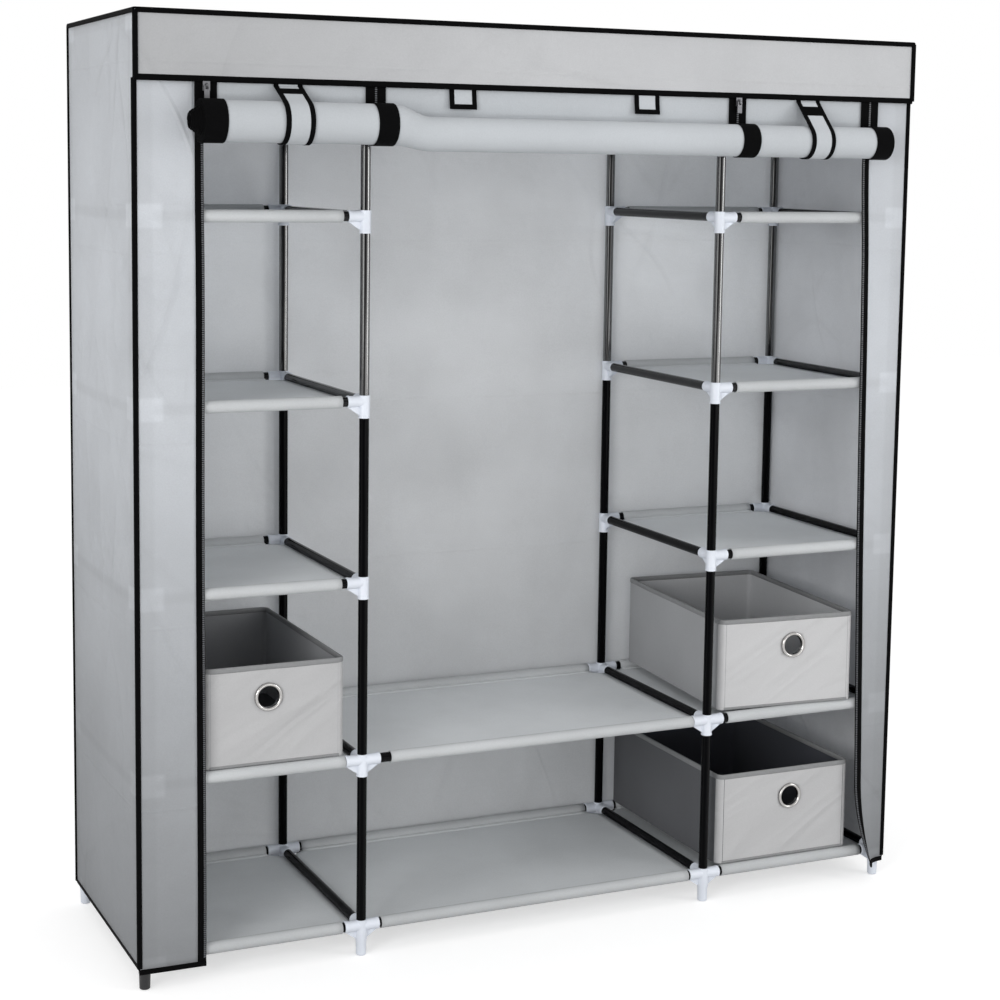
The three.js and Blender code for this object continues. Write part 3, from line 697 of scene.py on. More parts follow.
def add_posts():
    for column, x in enumerate(POST_X):
        for row, y, inward in (("front", FRONT_Y, 1), ("rear", REAR_Y, -1)):
            node = f"{row}_post_{COLUMNS[column]}"
            upright = Shape()
            add_tube(upright, (x, y, LEVELS[0] - 0.02), (x, y, LEVELS[-1] + 0.0095), TUBE_RADIUS)
            piece(f"{node}_upright", upright, [POST_STEEL], stands_for=[node])
            for level in range(len(LEVELS)):
                shape = connector(column, y, inward, level)
                is_black = row == "front" and column == 0 and level == 0
                plastic = BLACK_PLASTIC if is_black else WHITE_PLASTIC
                made = piece(f"{node}_connector_{level + 1}", shape, [plastic])
                soften(made, 0.0004)
        for level, z in enumerate(LEVELS):
            tube = Shape()
            add_tube(tube, (x, FRONT_Y + TUBE_START, z), (x, REAR_Y - TUBE_START, z), TUBE_RADIUS)
            piece(f"depth_tube_{COLUMNS[column]}_{level + 1}", tube, [STEEL])


def width_tube(name, bay, y, z, stands_for=()):
    shape = Shape()
    add_tube(shape, (POST_X[bay] + TUBE_START, y, z), (POST_X[bay + 1] - TUBE_START, y, z), TUBE_RADIUS)
    return piece(name, shape, [STEEL], stands_for=stands_for)


def add_top_tubes():
    for bay, name in enumerate(BAYS):
        width_tube(f"front_top_tube_{name}", bay, FRONT_Y, LEVELS[-1], [f"top_front_tube_{name}"])
        width_tube(f"rear_top_tube_{name}", bay, REAR_Y, LEVELS[-1], [f"top_rear_tube_{name}"])
    width_tube("clothes_rail", 1, MIDDLE_Y, LEVELS[-1], ["hanging_rail"])
    half_ring = [
        (0.009, SOCKET_RADIUS),
        (0.011, LIP_RADIUS),
        (0.013, LIP_RADIUS * 0.97),
        (0.013, TUBE_RADIUS + 0.0003),
    ]
    ring = [(-along, radius) for along, radius in reversed(half_ring)] + half_ring
    for side, direction in (("left", 1), ("right", -1)):
        hub = (-direction * INNER_X, MIDDLE_Y, LEVELS[-1])
        shape = Shape()
        add_turned(shape, hub, (0, 1, 0), ring, closed=True)
        add_arm(shape, hub, (direction, 0, 0))
        made = piece(f"clip_{side}", shape, [WHITE_PLASTIC], stands_for=[f"rail_clip_{side}"])
        soften(made, 0.0004)


# Shelves

def shelf_path():
    """The cloth from its front seam, round the front tube, along the shelf and round the rear tube."""
    turns = 18
    front = [(-POST_REACH + SEAM_REACH, CLOTH - SHEET_DROP)]
    for step in range(turns + 1):
        angle = between(-0.06 * math.pi, 1.84 * math.pi, step / turns)
        front.append((math.cos(angle) * TUNNEL_RADIUS - POST_REACH, math.sin(angle) * TUNNEL_RADIUS))
    spans = 22
    reach = POST_REACH - SEAM_REACH + 0.003
    sheet = [(between(-reach, reach, step / spans), -SHEET_DROP) for step in range(spans + 1)]
    return front + sheet + [(-y, z) for y, z in reversed(front)]


def tunnel_insets(bay, level):
    """How far the tunnels stop short of the middle of the posts: each slides a little on its tube."""
    left, right = STUBS.get((bay, level), STUBS.get(level, (STUB, STUB)))
    return ARM_LENGTH + left, ARM_LENGTH + right


def shelf_cloth(bay, level):
    """Two stitched tunnels and the sheet between them, notched round the connectors."""
    path = shelf_path()
    columns = 44 if bay == 1 else 26
    z0 = LEVELS[level]
    notch = POST_REACH - NOTCH
    left, right = tunnel_insets(bay, level)

    def point_at(width_share, path_share):
        y, z = path[round(path_share * (len(path) - 1))]
        is_notched = abs(y) > notch + 0.001
        start = POST_X[bay] + (left if is_notched else SHEET_INSET)
        end = POST_X[bay + 1] - (right if is_notched else SHEET_INSET)
        x = between(start, end, width_share)
        inner = max(0.0, 1 - (y / notch) ** 2)
        edge_hold = 0.05 + 0.95 * half_wave(width_share) ** 0.5
        sag = SHELF_SAG * inner * edge_hold
        wrinkle = 0.0012 * inner * ripple(x * 9, y * 5, level * 3.7)
        wrinkle += 0.0003 * ripple(x * 38, y * 8, level) * (1 if inner > 0 else 0.4)
        pucker = 0.0004 * math.sin(x * 260) * math.exp(-((abs(y) - POST_REACH + SEAM_REACH) / 0.008) ** 2)
        return x, MIDDLE_Y + y, z0 + z - sag + wrinkle + pucker

    return add_grid(Shape(), columns, len(path) - 1, point_at)


def shelf_stitches(bay, level):
    shape = Shape()
    z = LEVELS[level] - SHEET_DROP + CLOTH * 1.5
    left, right = tunnel_insets(bay, level)
    start, end = POST_X[bay] + left + 0.006, POST_X[bay + 1] - right - 0.006
    count = int((end - start) / STITCH_PITCH)
    for y in (-POST_REACH + SEAM_REACH - 0.003, POST_REACH - SEAM_REACH + 0.003):
        for stitch in range(count):
            x = between(start, end, (stitch + 0.5) / count)
            add_block(shape, (x, MIDDLE_Y + y, z), (STITCH_PITCH * 0.55, 0.0008, 0.0006))
    return shape


def add_shelves():
    for bay, bay_name in enumerate(BAYS):
        for level in range(TOP_LEVEL):
            if not has_width_tubes(bay, level):
                continue
            name = f"shelf_{bay_name}_{level + 1}"
            width_tube(f"{name}_front_tube", bay, FRONT_Y, LEVELS[level], [name])
            width_tube(f"{name}_rear_tube", bay, REAR_Y, LEVELS[level], [name])
            cloth = piece(f"{name}_cloth", shelf_cloth(bay, level), [SHELF], stands_for=[name],
                          sheet=True, crisp=60)
            thicken(cloth)
            stitches = piece(f"{name}_stitches", shelf_stitches(bay, level), [THREAD])


# Cover

def cloth_noise(a, b, seed, height=0.0016):
    """Long soft waves and a few tighter ones."""
    return height * (ripple(a * 2.6, b * 1.9, seed) + 0.45 * ripple(a * 7, b * 6, seed + 5))


def pulled_folds(a, b, seed, height, slant=0.45):
    """Narrow folds that run mostly up and down on a slant and fade in and out."""
    across, along = a - slant * b, b + slant * a
    ridge = 1 - abs(ripple(across * 6.5, along * 0.9, seed)) * 3.2
    return height * max(0.0, ridge) ** 2 * max(0.0, 0.35 + ripple(a * 1.7, b * 1.7, seed + 9))


def side_panel(side):
    def point_at(depth_share, height_share):
        y = between(FRONT_FACE + CLOTH / 2, BACK_Y - CLOTH / 2, depth_share)
        z = between(HEM_Z, TOP_Z - CLOTH, height_share)
        hold = half_wave(depth_share) ** 0.6 * half_wave(height_share) ** 0.5
        out = SIDE_BILLOW * half_wave(depth_share) * half_wave(height_share)
        out += max(-0.0006, cloth_noise(y * 2, z, 11 * side, 0.0022)) * hold
        out += pulled_folds(y * 1.6, z, 17 * side, 0.0026, 0.12) * hold
        return side * (SIDE_X - CLOTH / 2 + out), y, z

    return add_grid(Shape(), 44, 120, point_at)


def back_panel():
    def point_at(width_share, height_share):
        x = between(-SIDE_X + CLOTH, SIDE_X - CLOTH, width_share)
        z = between(HEM_Z, TOP_Z - CLOTH, height_share)
        hold = half_wave(width_share) ** 0.5 * half_wave(height_share) ** 0.5
        out = BACK_BILLOW * half_wave(width_share) * half_wave(height_share)
        out += max(-0.0005, cloth_noise(x, z, 31, 0.0034)) * hold
        out += pulled_folds(x, z, 37, 0.0040) * hold
        return x, BACK_Y - CLOTH / 2 + out, z

    return add_grid(Shape(), 150, 140, point_at)


def top_panel():
    def point_at(width_share, depth_share):
        x = between(-SIDE_X + CLOTH, SIDE_X - CLOTH, width_share)
        y = between(FRONT_FACE + CLOTH, BACK_Y - CLOTH, depth_share)
        bay_share = 0.0
        for start, end in zip(POST_X, POST_X[1:]):
            if start < x < end:
                bay_share = half_wave((x - start) / (end - start))
        sag = 0.0016 * bay_share * abs(math.sin(2 * math.pi * depth_share))
        return x, y, TOP_Z - CLOTH / 2 - sag + 0.0003 * ripple(x * 6, y * 6, 3)

    return add_grid(Shape(), 60, 24, point_at)


def valance_y(x, drop_share):
    """The valance's plane, with the slow waves of its loose lower edge."""
    wave = 0.0012 * math.sin(x * 9.0) + 0.0010 * ripple(x * 5, drop_share, 8)
    hold = half_wave((x + SIDE_X) / (2 * SIDE_X)) ** 0.4
    folds = pulled_folds(x * 1.3, -drop_share * 0.16, 5, 0.0026, 0.9) * half_wave(drop_share) ** 0.5
    return VALANCE_Y + CLOTH / 2 + 0.0011 + (wave * drop_share - folds) * hold


def valance():
    def point_at(width_share, drop_share):
        x = between(-SIDE_X + CLOTH / 2, SIDE_X - CLOTH / 2, width_share)
        return x, valance_y(x, drop_share), between(TOP_Z - CLOTH / 2, VALANCE_HEM, drop_share)

    shape = add_grid(Shape(), 220, 16, point_at)
    for side in (-1, 1):
        def return_at(depth_share, drop_share, side=side):
            y = between(VALANCE_Y + CLOTH, FRONT_FACE - 0.0005, depth_share)
            return side * (SIDE_X - CLOTH / 2), y, between(TOP_Z - CLOTH, VALANCE_HEM, drop_share)

        add_grid(shape, 2, 6, return_at)
    return shape


def add_binding(name, path, width=2 * BINDING_RADIUS, height=2 * BINDING_RADIUS, side_of=(0, 0, 1)):
    shape = Shape()
    add_swept(shape, path, round_section(width, height), side_of=side_of)
    piece(name, shape, [BINDING], crisp=70)


def line(start, end, steps=24):
    start, end = Vector(start), Vector(end)
    return [start.lerp(end, step / steps) for step in range(steps + 1)]


def add_cover_bindings():
    inset = 0.0015
    x, back, top = SIDE_X - inset, BACK_Y - inset, TOP_Z - inset
    front = VALANCE_Y + inset
    upright = {"side_of": (1, 0, 0)}
    flat = {"width": 0.010, "height": 0.0042}
    edge = FRONT_FACE + inset
    lines = (
        ("front_edge", (edge, HEM_Z), (edge, VALANCE_HEM), 24, upright),
        ("rear_edge", (back, HEM_Z), (back, top), 24, upright),
        ("hem", (FRONT_FACE, HEM_Z), (back, HEM_Z), 24, flat),
        ("top", (front, top), (back, top), 24, {}),
        ("valance_corner", (front, VALANCE_HEM), (front, top), 24, upright),
        ("valance_return", (front, VALANCE_HEM), (FRONT_FACE, VALANCE_HEM), 6, flat),
    )
    for side, name in ((-x, "left"), (x, "right")):
        for place, start, end, steps, form in lines:
            add_binding(f"{name}_{place}_binding", line((side, *start), (side, *end), steps), **form)
    add_binding("rear_hem_binding", line((-x, back, HEM_Z), (x, back, HEM_Z)), **flat)
    add_binding("rear_top_binding", line((-x, back, top), (x, back, top)))
    add_binding("front_top_binding", line((-x, front, top), (x, front, top)))
    stations = [between(-x, x, step / 90) for step in range(91)]
    hem = [(across, valance_y(across, 1.0), VALANCE_HEM + 0.001) for across in stations]
    add_binding("valance_hem_binding", hem, width=0.0105, height=0.0036)


def add_cover():
    width, height, depth = 2 * SIDE_X, TOP_Z - HEM_Z, BACK_Y - FRONT_FACE
    back, top = "rear_top_tube_centre", "front_top_tube_centre"
    panels = (
        ("left_side", side_panel(-1), [COVER_INSIDE, COVER], (depth, height), "front_post_left_upright"),
        ("right_side", side_panel(1), [COVER, COVER_INSIDE], (depth, height), "front_post_right_upright"),
        ("back", back_panel(), [BACK, COVER_REAR], (width, height), back),
        ("top", top_panel(), [COVER, COVER_INSIDE], (width, depth), top),
    )
    for name, shape, sides, flat, carrier in panels:
        made = piece(f"{name}_cloth", shape, sides, stands_for=[f"cover_{name}"],
                     sheet=True, crisp=80)
        thicken(made, far_side=1)
    made = piece("valance_cloth", valance(), [VALANCE], stands_for=["front_valance"],
                 sheet=True, crisp=50)
    thicken(made)


# Front flaps

def flap_width(side, z):
    if side < 0:
        return FLAP_WIDTHS[side]
    return FLAP_WIDTHS[side] - RIGHT_TAPER * max(0.0, SPLIT_Z - z) / (SPLIT_Z - FLAP_HEM_Z)


def flap_point(side, distance, z):
    """A point of a flap by its distance from the corner and its height."""
    share = distance / flap_width(side, z)
    wave = FLAP_WAVE * share * (1 + math.sin(3 * math.pi * z / SPLIT_Z)) / 2
    curl = share ** 2 * max(0.0, 1 - (z - FLAP_HEM_Z) / CURL_HEIGHT) ** 2 if side > 0 else 0
    from_top = smooth((SPLIT_Z - z) / CURL_HEIGHT)
    wrinkle = 0.0012 * share * ripple(distance * 14, z * 4.5, 20 * side)
    y = FRONT_FACE + CLOTH / 2 - wave * from_top - CURL_OUT * curl - max(-0.0006, wrinkle) * from_top
    return side * (SIDE_X - distance + CURL_ASIDE * curl), y, z


def flap_piece(name, side, start, end, columns, material, stands_for):
    """A strip of a flap between two distances from its free edge."""

    def point_at(width_share, height_share):
        z = between(FLAP_HEM_Z, HANG_TOP, height_share)
        width = flap_width(side, z)
        first = 0.0018 if start is None else width - start
        return flap_point(side, between(first, width - end, width_share), z)

    shape = add_grid(Shape(), columns, 110, point_at)
    made = piece(name, shape, [material], body=None, stands_for=stands_for,
                 sheet=True, crisp=80)
    return thicken(made, CLOTH if start is None else 0.0015)


def add_teeth(shape, points, normal=(0, -1, 0)):
    """A row of zip teeth along a line of points."""
    gone = 0.0
    due = 0.0
    for start, end in zip(points, points[1:]):
        start, end = Vector(start), Vector(end)
        span = (end - start).length
        while due < gone + span:
            place = start.lerp(end, (due - gone) / span) + Vector(normal) * 0.0010
            add_block(shape, place, (0.0036, 0.0016, TOOTH_PITCH * 0.55))
            due += TOOTH_PITCH
        gone += span


def turn_with_flap(made):
    """Moves the object's placing into its mesh."""
    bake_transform(made)


def add_flaps():
    for side, name in ((-1, "left"), (1, "right")):
        flap = f"{name}_flap"
        cloth = flap_piece(f"{flap}_cloth", side, None, ZIP_TAPE_WIDTH, 16, COVER,
                           [f"{name}_front_flap"])
        tape = flap_piece(f"{flap}_zip_tape", side, ZIP_TAPE_WIDTH, 0, 4, TAPE,
                          [f"{name}_zip_tape"])
        teeth_shape = Shape()
        heights = [between(FLAP_HEM_Z + 0.012, VALANCE_HEM - 0.01, step / 60) for step in range(61)]
        add_teeth(teeth_shape, [flap_point(side, flap_width(side, z) - 0.0028, z) for z in heights])
        teeth = piece(f"{flap}_zip_teeth", teeth_shape, [ZIP_TEETH], body=None)
        hem_shape = Shape()
        width = flap_width(side, FLAP_HEM_Z)
        hem = [flap_point(side, between(0.001, width, step / 16), FLAP_HEM_Z) for step in range(17)]
        add_swept(hem_shape, hem, round_section(0.010, 0.0036))
        binding = piece(f"{flap}_hem_binding", hem_shape, [BINDING], body=None, crisp=70)
        for made in (cloth, tape, teeth, binding):
            turn_with_flap(made)


# Rolled door

def roll_end(tape):
    """Radius and middle of the roll, from the tape that lies round it."""
    low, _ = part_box(tape)
    radius = (DOOR_BACK - low.y - DOOR_STAND_OFF) / 2
    return radius, DOOR_BACK - radius, low.z + DOOR_STAND_OFF + radius


ROLL_LEFT = roll_end("door_zip_tape_1")
ROLL_RIGHT = roll_end("door_zip_tape_4")


def roll_at(x):
    share = smooth((x - STEP_START) / (STEP_END - STEP_START))
    return tuple(between(a, b, share) for a, b in zip(ROLL_LEFT, ROLL_RIGHT))


def round_roll(x, angle, distance=0.0):
    """A point round the roll, counted from its back downwards, and a distance off its outer face."""
    radius, y, z = roll_at(x)
    reach = radius - ROLL_PITCH * angle / (2 * math.pi) + distance
    return y + reach * math.cos(angle), z - reach * math.sin(angle)


def door_roll():
    """The door hangs behind its roll and is wound inwards, under the roll and up its front."""
    hang = 7
    wound = ROLL_TURNS * ROLL_STEPS
    rows = hang + wound
    # The stations lie closer at the edge tapes and at the step between the thick and the thin part
    shares = (0, 0.05, 0.107, 0.3, 0.5, 0.7, 0.9)
    stations = [between(DOOR_LEFT, STEP_START, share) for share in shares]
    stations += [between(STEP_START, STEP_END, step / 5) for step in range(6)]
    stations += [between(STEP_END, DOOR_RIGHT, step / 22) for step in range(1, 22)]
    stations += [DOOR_RIGHT - EDGE_TAPE, DOOR_RIGHT - EDGE_TAPE / 2, DOOR_RIGHT]
    stations.sort()
    columns = len(stations) - 1

    def point_at(width_share, path_share):
        column, row = round(width_share * columns), round(path_share * rows)
        x = stations[column]
        middle_y = -CLOTH / 2 - 0.0003
        if row < hang:
            y, z = round_roll(x, 0, middle_y)
            share = row / hang
            sway = 0.0010 * ripple(x * 7, share * 2, 4) * half_wave(share)
            return x, y + min(0, sway), between(HANG_TOP, z, share)
        angle = (row - hang) / ROLL_STEPS * 2 * math.pi
        y, z = round_roll(x, angle, middle_y)
        slack = 0.0010 * ripple(x * 5, angle * 0.9, 2) * (1 if angle < 7 else 0.3)
        inner = max(0.0, (angle / (2 * math.pi) - 3) / (ROLL_TURNS - 3))
        aside = CORE_LENGTH * smooth(inner) if column == 0 else 0.0
        radius_y, radius_z = y - roll_at(x)[1], z - roll_at(x)[2]
        reach = math.hypot(radius_y, radius_z)
        return x - aside, y + radius_y / reach * min(0, slack), z + radius_z / reach * min(0, slack)

    def slot_at(width_share, path_share):
        x = stations[int(width_share * columns)]
        is_edge = x < DOOR_LEFT + EDGE_TAPE * 0.9 or x > DOOR_RIGHT - EDGE_TAPE * 1.01
        return 1 if is_edge and path_share * rows > hang else 0

    return add_grid(Shape(), columns, rows, point_at, slot_at)


def band_round_roll(x, from_angle, to_angle, off, steps=30):
    return [round_roll(x, between(from_angle, to_angle, step / steps), off) for step in range(steps + 1)]


def door_tape(node):
    """A zip tape: down the hanging door, in behind the roll, and round the roll's outer turn."""
    low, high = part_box(node)
    x = (low.x + high.x) / 2
    shape = Shape()
    _, _, roll_z = roll_at(x)
    hang = [(TAPE_Y, between(HANG_TOP, roll_z, step / 8)) for step in range(9)]
    add_ribbon(shape, low.x, high.x, hang, 0.0012)
    wrap = band_round_roll(x, 0.12 * math.pi, 1.93 * math.pi, 0.0008)
    add_ribbon(shape, low.x, high.x, wrap, 0.0012)
    teeth = Shape()
    add_teeth(teeth, [(x, y, z) for y, z in hang])
    return shape, teeth


def strap_path(x):
    """Over the roll's front, under it, and up behind the hanging door."""
    radius, roll_y, roll_z = roll_at(x)
    off = 0.0009
    lead_z = VALANCE_HEM - 0.007
    away = math.hypot(lead_z - roll_z, TAPE_Y - roll_y)
    aim = math.atan2(lead_z - roll_z, TAPE_Y - roll_y)
    spread = math.acos((radius + off) / away)
    touch = 2 * math.pi - (aim + spread)
    path = [(TAPE_Y, HANG_TOP), (TAPE_Y, (TOP_Z + lead_z) / 2), (TAPE_Y, lead_z)]
    count = 26
    for step in range(count + 1):
        angle = between(touch, 0, step / count)
        path.append((roll_y + (radius + off) * math.cos(angle), roll_z - (radius + off) * math.sin(angle)))
    path.append((DOOR_BACK + off, HANG_TOP))
    return path


def add_bordered_band(shape, x, path, cross_bar=None):
    """A grey band with black bound edges, and a black bar across it where a height is given."""
    left, right = x - STRAP_WIDTH / 2, x + STRAP_WIDTH / 2
    add_ribbon(shape, left + STRAP_EDGE * 0.8, right - STRAP_EDGE * 0.8, path, 0.0008, slot=0)
    add_ribbon(shape, left, left + STRAP_EDGE, path, 0.0017, slot=1)
    add_ribbon(shape, right - STRAP_EDGE, right, path, 0.0017, slot=1)
    if cross_bar:
        add_ribbon(shape, left + 0.0005, right - 0.0005, cross_bar, 0.0021, slot=1)


def add_straps():
    for name in ("left", "right"):
        x = middle(f"tie_strap_{name}").x
        path = strap_path(x)
        shape = Shape()
        lead, touch = Vector(path[2]), Vector(path[3])
        bar = [tuple(lead.lerp(touch, share)) for share in (0.18, 0.34, 0.5)]
        add_bordered_band(shape, x, path, bar)
        piece(f"{name}_tie_strap", shape, [DOOR, BINDING], stands_for=[f"tie_strap_{name}"],
              crisp=50)
    for name in ("left", "right"):
        low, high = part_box(f"short_tab_{name}")
        x = (low.x + high.x) / 2
        half_way = (TAPE_Y - 0.0022, between(VALANCE_HEM, low.z, 0.5))
        path = [(TAPE_Y, HANG_TOP), (TAPE_Y, VALANCE_HEM + 0.004), half_way, (TAPE_Y - 0.0050, low.z)]
        end = [tuple(Vector(path[2]).lerp(Vector(path[3]), share)) for share in (0.55, 0.8, 1.0)]
        shape = Shape()
        add_bordered_band(shape, x, path, end)
        piece(f"{name}_short_tab", shape, [DOOR, BINDING], stands_for=[f"short_tab_{name}"],
              crisp=50)


def add_door():
    cloth = piece("door_cloth", door_roll(), [DOOR, TAPE], stands_for=["rolled_door"],
                  sheet=True, crisp=60)
    thicken(cloth)
    for number in range(1, 5):
        node = f"door_zip_tape_{number}"
        tape, teeth = door_tape(node)
        piece(f"door_tape_{number}", tape, [TAPE], stands_for=[node],
                               crisp=50)
        piece(f"door_teeth_{number}", teeth, [ZIP_TEETH])


# Storage boxes

def plan_loop(low, high, inset, steps=6, spans=14):
    """A rounded rectangle in plan, from the middle of its front, as (x, y, outward x, outward y)."""
    left, right = low.x + inset, high.x - inset
    front, back = low.y + inset, high.y - inset
    radius = BOX_CORNER - inset
    centres = [
        (right - radius, front + radius, -0.5),
        (right - radius, back - radius, 0.0),
        (left + radius, back - radius, 0.5),
        (left + radius, front + radius, 1.0),
    ]
    loop = []
    for index, (x, y, start) in enumerate(centres):
        for step in range(steps + 1):
            turn = (start + 0.5 * step / steps) * math.pi
            out = (math.cos(turn), math.sin(turn))
            loop.append((x + radius * out[0], y + radius * out[1], *out))
        after = centres[(index + 1) % 4]
        first = (x + radius * out[0], y + radius * out[1])
        last = (after[0] + radius * out[0], after[1] + radius * out[1])
        for span in range(1, spans):
            share = span / spans
            loop.append((between(first[0], last[0], share), between(first[1], last[1], share), *out))
    return loop


def box_walls(low, high, seed):
    """The cloth outside, the lining inside and the rim, in three slots: front, sides and lining."""
    shape = Shape()
    outer = plan_loop(low, high, RIM_PROUD)
    inner = plan_loop(low, high, RIM_PROUD + BOX_WALL)
    count, rows = len(outer), 20
    for loop, floor, slot in ((outer, low.z, 1), (inner, low.z + 0.002, 2)):
        points = []
        for row in range(rows + 1):
            share = row / rows
            z = between(floor, high.z - 0.001, share)
            for x, y, out_x, out_y in loop:
                is_front = out_y < -0.99
                along = 0 if is_front else 1
                across = ((x, y)[along] - low[along]) / (high[along] - low[along])
                from_corner = min(1.0, 12 * max(0.0, min(across, 1 - across) - 0.07))
                hold = half_wave(min(1.0, share * 0.92 + 0.04)) ** 0.7 * smooth(from_corner)
                if is_front:
                    soft = 0.0024 * ripple((x + z) * 8 + seed, (z - 0.5 * x) * 22, seed) * hold
                else:
                    soft = 0.0016 * ripple(y * 7 + seed, z * 11, seed) * hold
                soft = min(0.0, soft - 0.0004 * hold)
                points.append((x + out_x * soft, y + out_y * soft, z))
        shape.add(points, join_rings(rows + 1, count)[:-1], slot)
    for step in range(count):
        outside, inside = rows * count, len(points) + rows * count
        after = (step + 1) % count
        shape.faces.append((outside + step, outside + after, inside + after, inside + step))
        shape.slots.append(1)
        if max(outer[step][3], outer[after][3]) < -0.99:
            shape.slots[step:outside:count] = [0] * rows
    return shape


def box_trim(low, high):
    """The bound rim and the bindings up the two front corners and along the foot of the front."""
    shape = Shape()

    def add_along(stations, section, slot, closed):
        """A section of (off the wall, height) offsets drawn along places on the wall."""
        points = []
        for x, y, out_x, out_y in stations:
            points += [(x + out_x * off, y + out_y * off, z) for off, z in section]
        shape.add(points, join_rings(len(stations), len(section), closed), slot)

    rim_z = high.z - RIM_HEIGHT / 2
    rim = [(off, rim_z + height) for height, off in round_section(RIM_HEIGHT, 0.0052)]
    add_along(plan_loop(low, high, RIM_INSET), rim, 0, closed=True)
    loop = plan_loop(low, high, BINDING_INSET)
    foot_z, top_z = low.z + 0.001, high.z - RIM_HEIGHT * 0.8
    for side in (-1, 1):
        corner = [at for at in loop if at[3] < -0.02 and side * at[2] > 0.02][::side]
        near, far = corner[0], corner[-1]
        strip = [(near[0] - side * 0.002, near[1], 0.0, -1.0)]
        strip += [*corner, (far[0], far[1] + 0.006, float(side), 0.0)]
        band = [(0.0011, foot_z), (-0.0007, foot_z), (-0.0007, top_z), (0.0011, top_z)]
        add_along(strip, band, 1, closed=False)
    foot = [(x, low.y + RIM_PROUD, low.z + 0.0026) for x in (low.x + 0.012, high.x - 0.012)]
    add_swept(shape, line(*foot, 12), round_section(0.0052, 0.0030))
    return shape


def square_plan(node, turn):
    """The lowest and highest corners that a box would have if it stood square on the same middle."""
    low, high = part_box(node)
    round_part = 2 * (BOX_CORNER + RIM_PROUD)
    across, along = high.x - low.x - round_part, high.y - low.y - round_part
    width = (across * math.cos(turn) - along * math.sin(turn)) / math.cos(2 * turn) + round_part
    depth = (along * math.cos(turn) - across * math.sin(turn)) / math.cos(2 * turn) + round_part
    half = Vector((width / 2, depth / 2, 0))
    centre = (low + high) / 2
    return Vector((*(centre - half)[:2], low.z)), Vector((*(centre + half)[:2], high.z)), centre


def eyelet_shape(centre, radius):
    """A rolled ring in front of the cloth and a flat washer behind it."""
    bore = radius * 0.76
    profile = [
        (0.0, bore - 0.0006),
        (-0.0022, bore - 0.0002),
        (-0.0038, bore + 0.0010),
        (-0.0044, (bore + radius) / 2),
        (-0.0038, radius - 0.0012),
        (-0.0024, radius - 0.0002),
        (-0.0006, radius),
        (0.0001, radius - 0.0008),
        (0.0001, bore + 0.0012),
        (0.0038, bore + 0.0012),
        (0.0040, radius * 0.94),
        (0.0050, radius * 0.92),
        (0.0053, bore + 0.0012),
        (0.0046, bore - 0.0006),
    ]
    shape = Shape()
    add_turned(shape, centre, (0, 1, 0), profile, sides=64, closed=True)
    return shape, bore + 0.001


def cut_hole(made, place, radius):
    cutter_shape = Shape()
    start = Vector(place) - Vector((0, 0.01, 0))
    add_turned(cutter_shape, start, (0, 1, 0), [(0, radius), (0.03, radius)], sides=48)
    cutter = piece("hole_cutter", cutter_shape, [made.data.materials[0]], body=None)
    cut = made.modifiers.new("hole", "BOOLEAN")
    cut.object = cutter
    cut.solver = "EXACT"
    bpy.context.view_layer.objects.active = made
    with bpy.context.temp_override(object=made, active_object=made, selected_objects=[made]):
        bpy.ops.object.modifier_apply(modifier=cut.name)
    bpy.data.objects.remove(cutter)


def add_box(name, number, turn):
    """Each box is made square to the frame and then turned about its middle."""
    body, node = f"box_{name}", f"storage_box_{name}"
    low, high, centre = square_plan(node, turn)
    stance = Matrix.Translation(centre) @ Matrix.Rotation(-turn, 4, "Z") @ Matrix.Translation(-centre)
    eyelet_low, eyelet_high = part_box(f"box_eyelet_{name}")
    place = stance.inverted() @ ((eyelet_low + eyelet_high) / 2)
    place.y = low.y + RIM_PROUD
    radius = (eyelet_high.z - eyelet_low.z) / 2
    cloths = BOX_CLOTHS[name]
    walls = piece(f"{name}_box_walls", box_walls(low, high, 3.1 * number), cloths, body=body,
                  stands_for=[node], crisp=50)
    rim_shape, hole = eyelet_shape(place, radius)
    cut_hole(walls, place, hole)
    trim = piece(f"{name}_box_binding", box_trim(low, high), [BOX_TRIM, cloths[0]], body=body,
                 crisp=60)
    rim = piece(f"{name}_box_eyelet", rim_shape, [CHROME], body=body, stands_for=[f"box_eyelet_{name}"],
                crisp=60)
    for made in (walls, trim, rim):
        made.data.transform(stance)
    dress(f"box_base_board_{name}", BOARD)


def add_boxes():
    add_box("left", 0, 0.0)
    add_box("right_upper", 1, UPPER_BOX_TURN)
    add_box("right_lower", 2, 0.0)


def dress_zip_metal():
    for name in ("left", "right"):
        dress(f"zip_slider_{name}", NICKEL)
        dress(f"zip_pull_{name}", NICKEL)


# Surroundings

def make_camera():
    yaw, pitch, roll = CAMERA_YAW, CAMERA_PITCH, CAMERA_ROLL
    forward = Vector((math.sin(yaw) * math.cos(pitch), math.cos(yaw) * math.cos(pitch), math.sin(pitch)))
    right = Vector((math.cos(yaw), -math.sin(yaw), 0))
    up = right.cross(forward)
    rolled_right = right * math.cos(roll) + up * math.sin(roll)
    rolled_up = up * math.cos(roll) - right * math.sin(roll)
    data = bpy.data.cameras.new("camera")
    data.sensor_fit = "HORIZONTAL"
    data.sensor_width = SENSOR_MM
    data.lens = FOCAL_PIXELS / IMAGE_PIXELS * SENSOR_MM
    data.shift_x = (IMAGE_PIXELS / 2 - CENTRE_PIXEL[0]) / IMAGE_PIXELS
    data.shift_y = (CENTRE_PIXEL[1] - IMAGE_PIXELS / 2) / IMAGE_PIXELS
    camera = bpy.data.objects.new("camera", data)
    turned = Matrix((rolled_right, rolled_up, -forward)).transposed().to_4x4()
    camera.matrix_world = Matrix.Translation(CAMERA_PLACE) @ turned
    bpy.context.scene.collection.objects.link(camera)
    bpy.context.scene.camera = camera


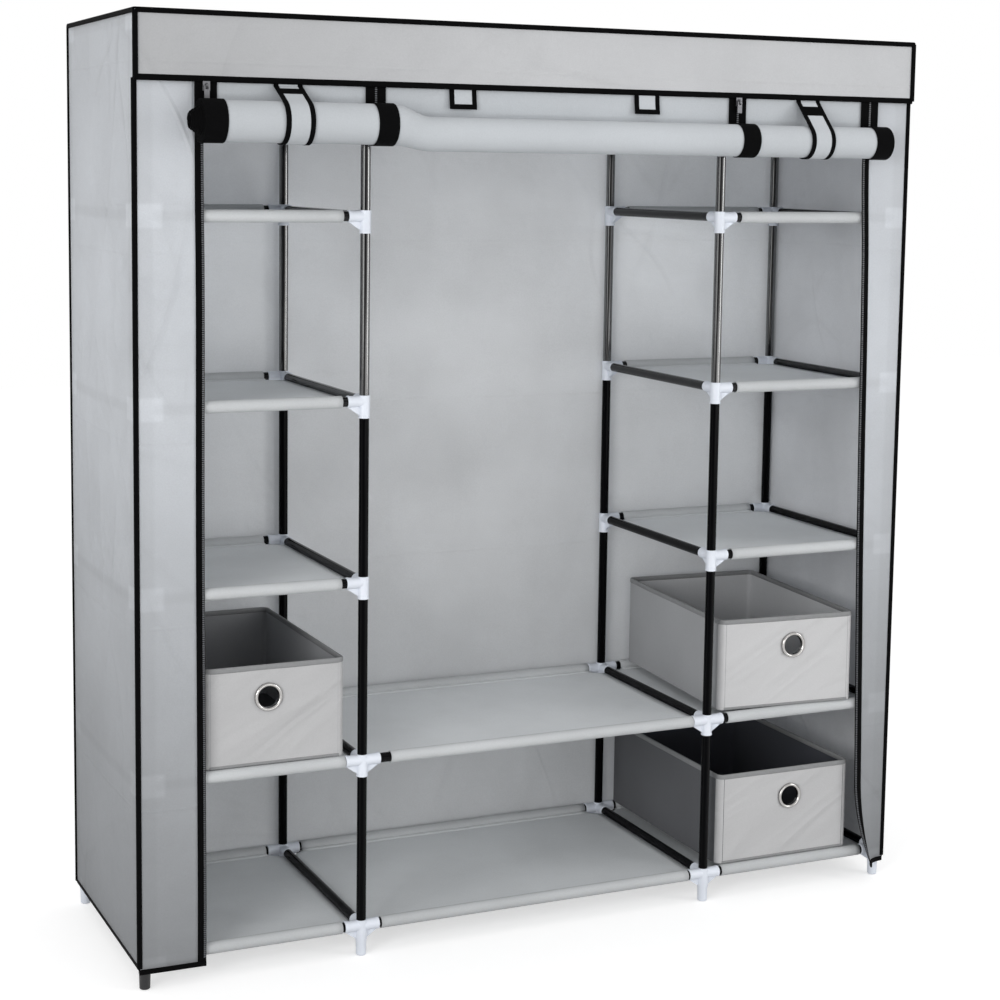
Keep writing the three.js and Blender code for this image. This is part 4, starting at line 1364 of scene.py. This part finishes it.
def add_light(name, place, aim, power, width, height, colour=(1, 1, 1)):
    data = bpy.data.lights.new(name, "AREA")
    data.shape = "RECTANGLE"
    data.size, data.size_y = width, height
    data.energy = power
    data.color = colour
    light = bpy.data.objects.new(name, data)
    light.location = place
    light.rotation_euler = (Vector(aim) - Vector(place)).to_track_quat("-Z", "Y").to_euler()
    bpy.context.scene.collection.objects.link(light)


def make_floor():
    """A pale floor that the camera sees as white but for the shadow; its light on the object stays soft."""
    shape = add_grid(Shape(), 1, 1, lambda a, b: (between(-9, 9, a), between(-9, 9, b), -0.0005))
    look = Look("studio floor", (FLOOR_SHADE, FLOOR_SHADE, FLOOR_SHADE), 0.8, Specular_IOR_Level=0.0)
    look.tone(look.noise(1.5, 3.0), 0.985, 1.0)
    look.shader.inputs["Emission Color"].default_value = (1, 1, 1, 1)
    glow = look.combine("MULTIPLY", seen_directly(look.tree), FLOOR_GLOW)
    look.tree.links.new(glow, look.shader.inputs["Emission Strength"])
    piece("studio_floor", shape, [look.material], body=None, sheet=True)


def seen_directly(tree):
    """1 for what the camera sees, also in metal or glass, and 0 for light that falls on the object."""
    rays = add_node(tree, "ShaderNodeLightPath").outputs
    seen = rays["Is Camera Ray"]
    for ray in ("Is Glossy Ray", "Is Transmission Ray"):
        seen = add_node(tree, "ShaderNodeMath", {0: seen, 1: rays[ray]}, operation="MAXIMUM").outputs[0]
    return seen


def make_world():
    """White behind the object. The light from above is stronger than the light from the sides."""
    world = bpy.data.worlds.new("studio")
    world.use_nodes = True
    tree = world.node_tree
    direction = add_node(tree, "ShaderNodeTexCoord").outputs["Generated"]
    height = add_node(tree, "ShaderNodeSeparateXYZ", {"Vector": direction}).outputs["Z"]
    inputs = {"Value": height, "From Min": -0.2, "From Max": 1.0, "To Min": SKY_LOW, "To Max": SKY_HIGH}
    strength = add_node(tree, "ShaderNodeMapRange", inputs).outputs["Result"]
    inputs = {"Factor": seen_directly(tree), "A": strength, "B": 1.0}
    mixed = add_node(tree, "ShaderNodeMix", inputs).outputs["Result"]
    background = tree.nodes["Background"].inputs
    background["Color"].default_value = (1.0, 1.0, 1.0, 1)
    tree.links.new(mixed, background["Strength"])
    bpy.context.scene.world = world


def make_surroundings():
    make_floor()
    make_world()
    add_light("key", (-4.0, -3.3, 1.7), (0.1, 0, 1.0), 96, 2.0, 2.2)
    add_light("fill", (3.4, -3.0, 1.7), (-0.1, 0.1, 1.0), 42, 1.0, 2.4)
    add_light("low", (0.3, -4.2, 0.5), (0.0, 0.2, 1.1), 20, 3.0, 0.6)
    bpy.context.scene.view_settings.view_transform = "Standard"


make_camera()
make_surroundings()
add_posts()
add_top_tubes()
add_shelves()
add_cover()
add_cover_bindings()
add_flaps()
add_door()
add_straps()
add_boxes()
dress_zip_metal()
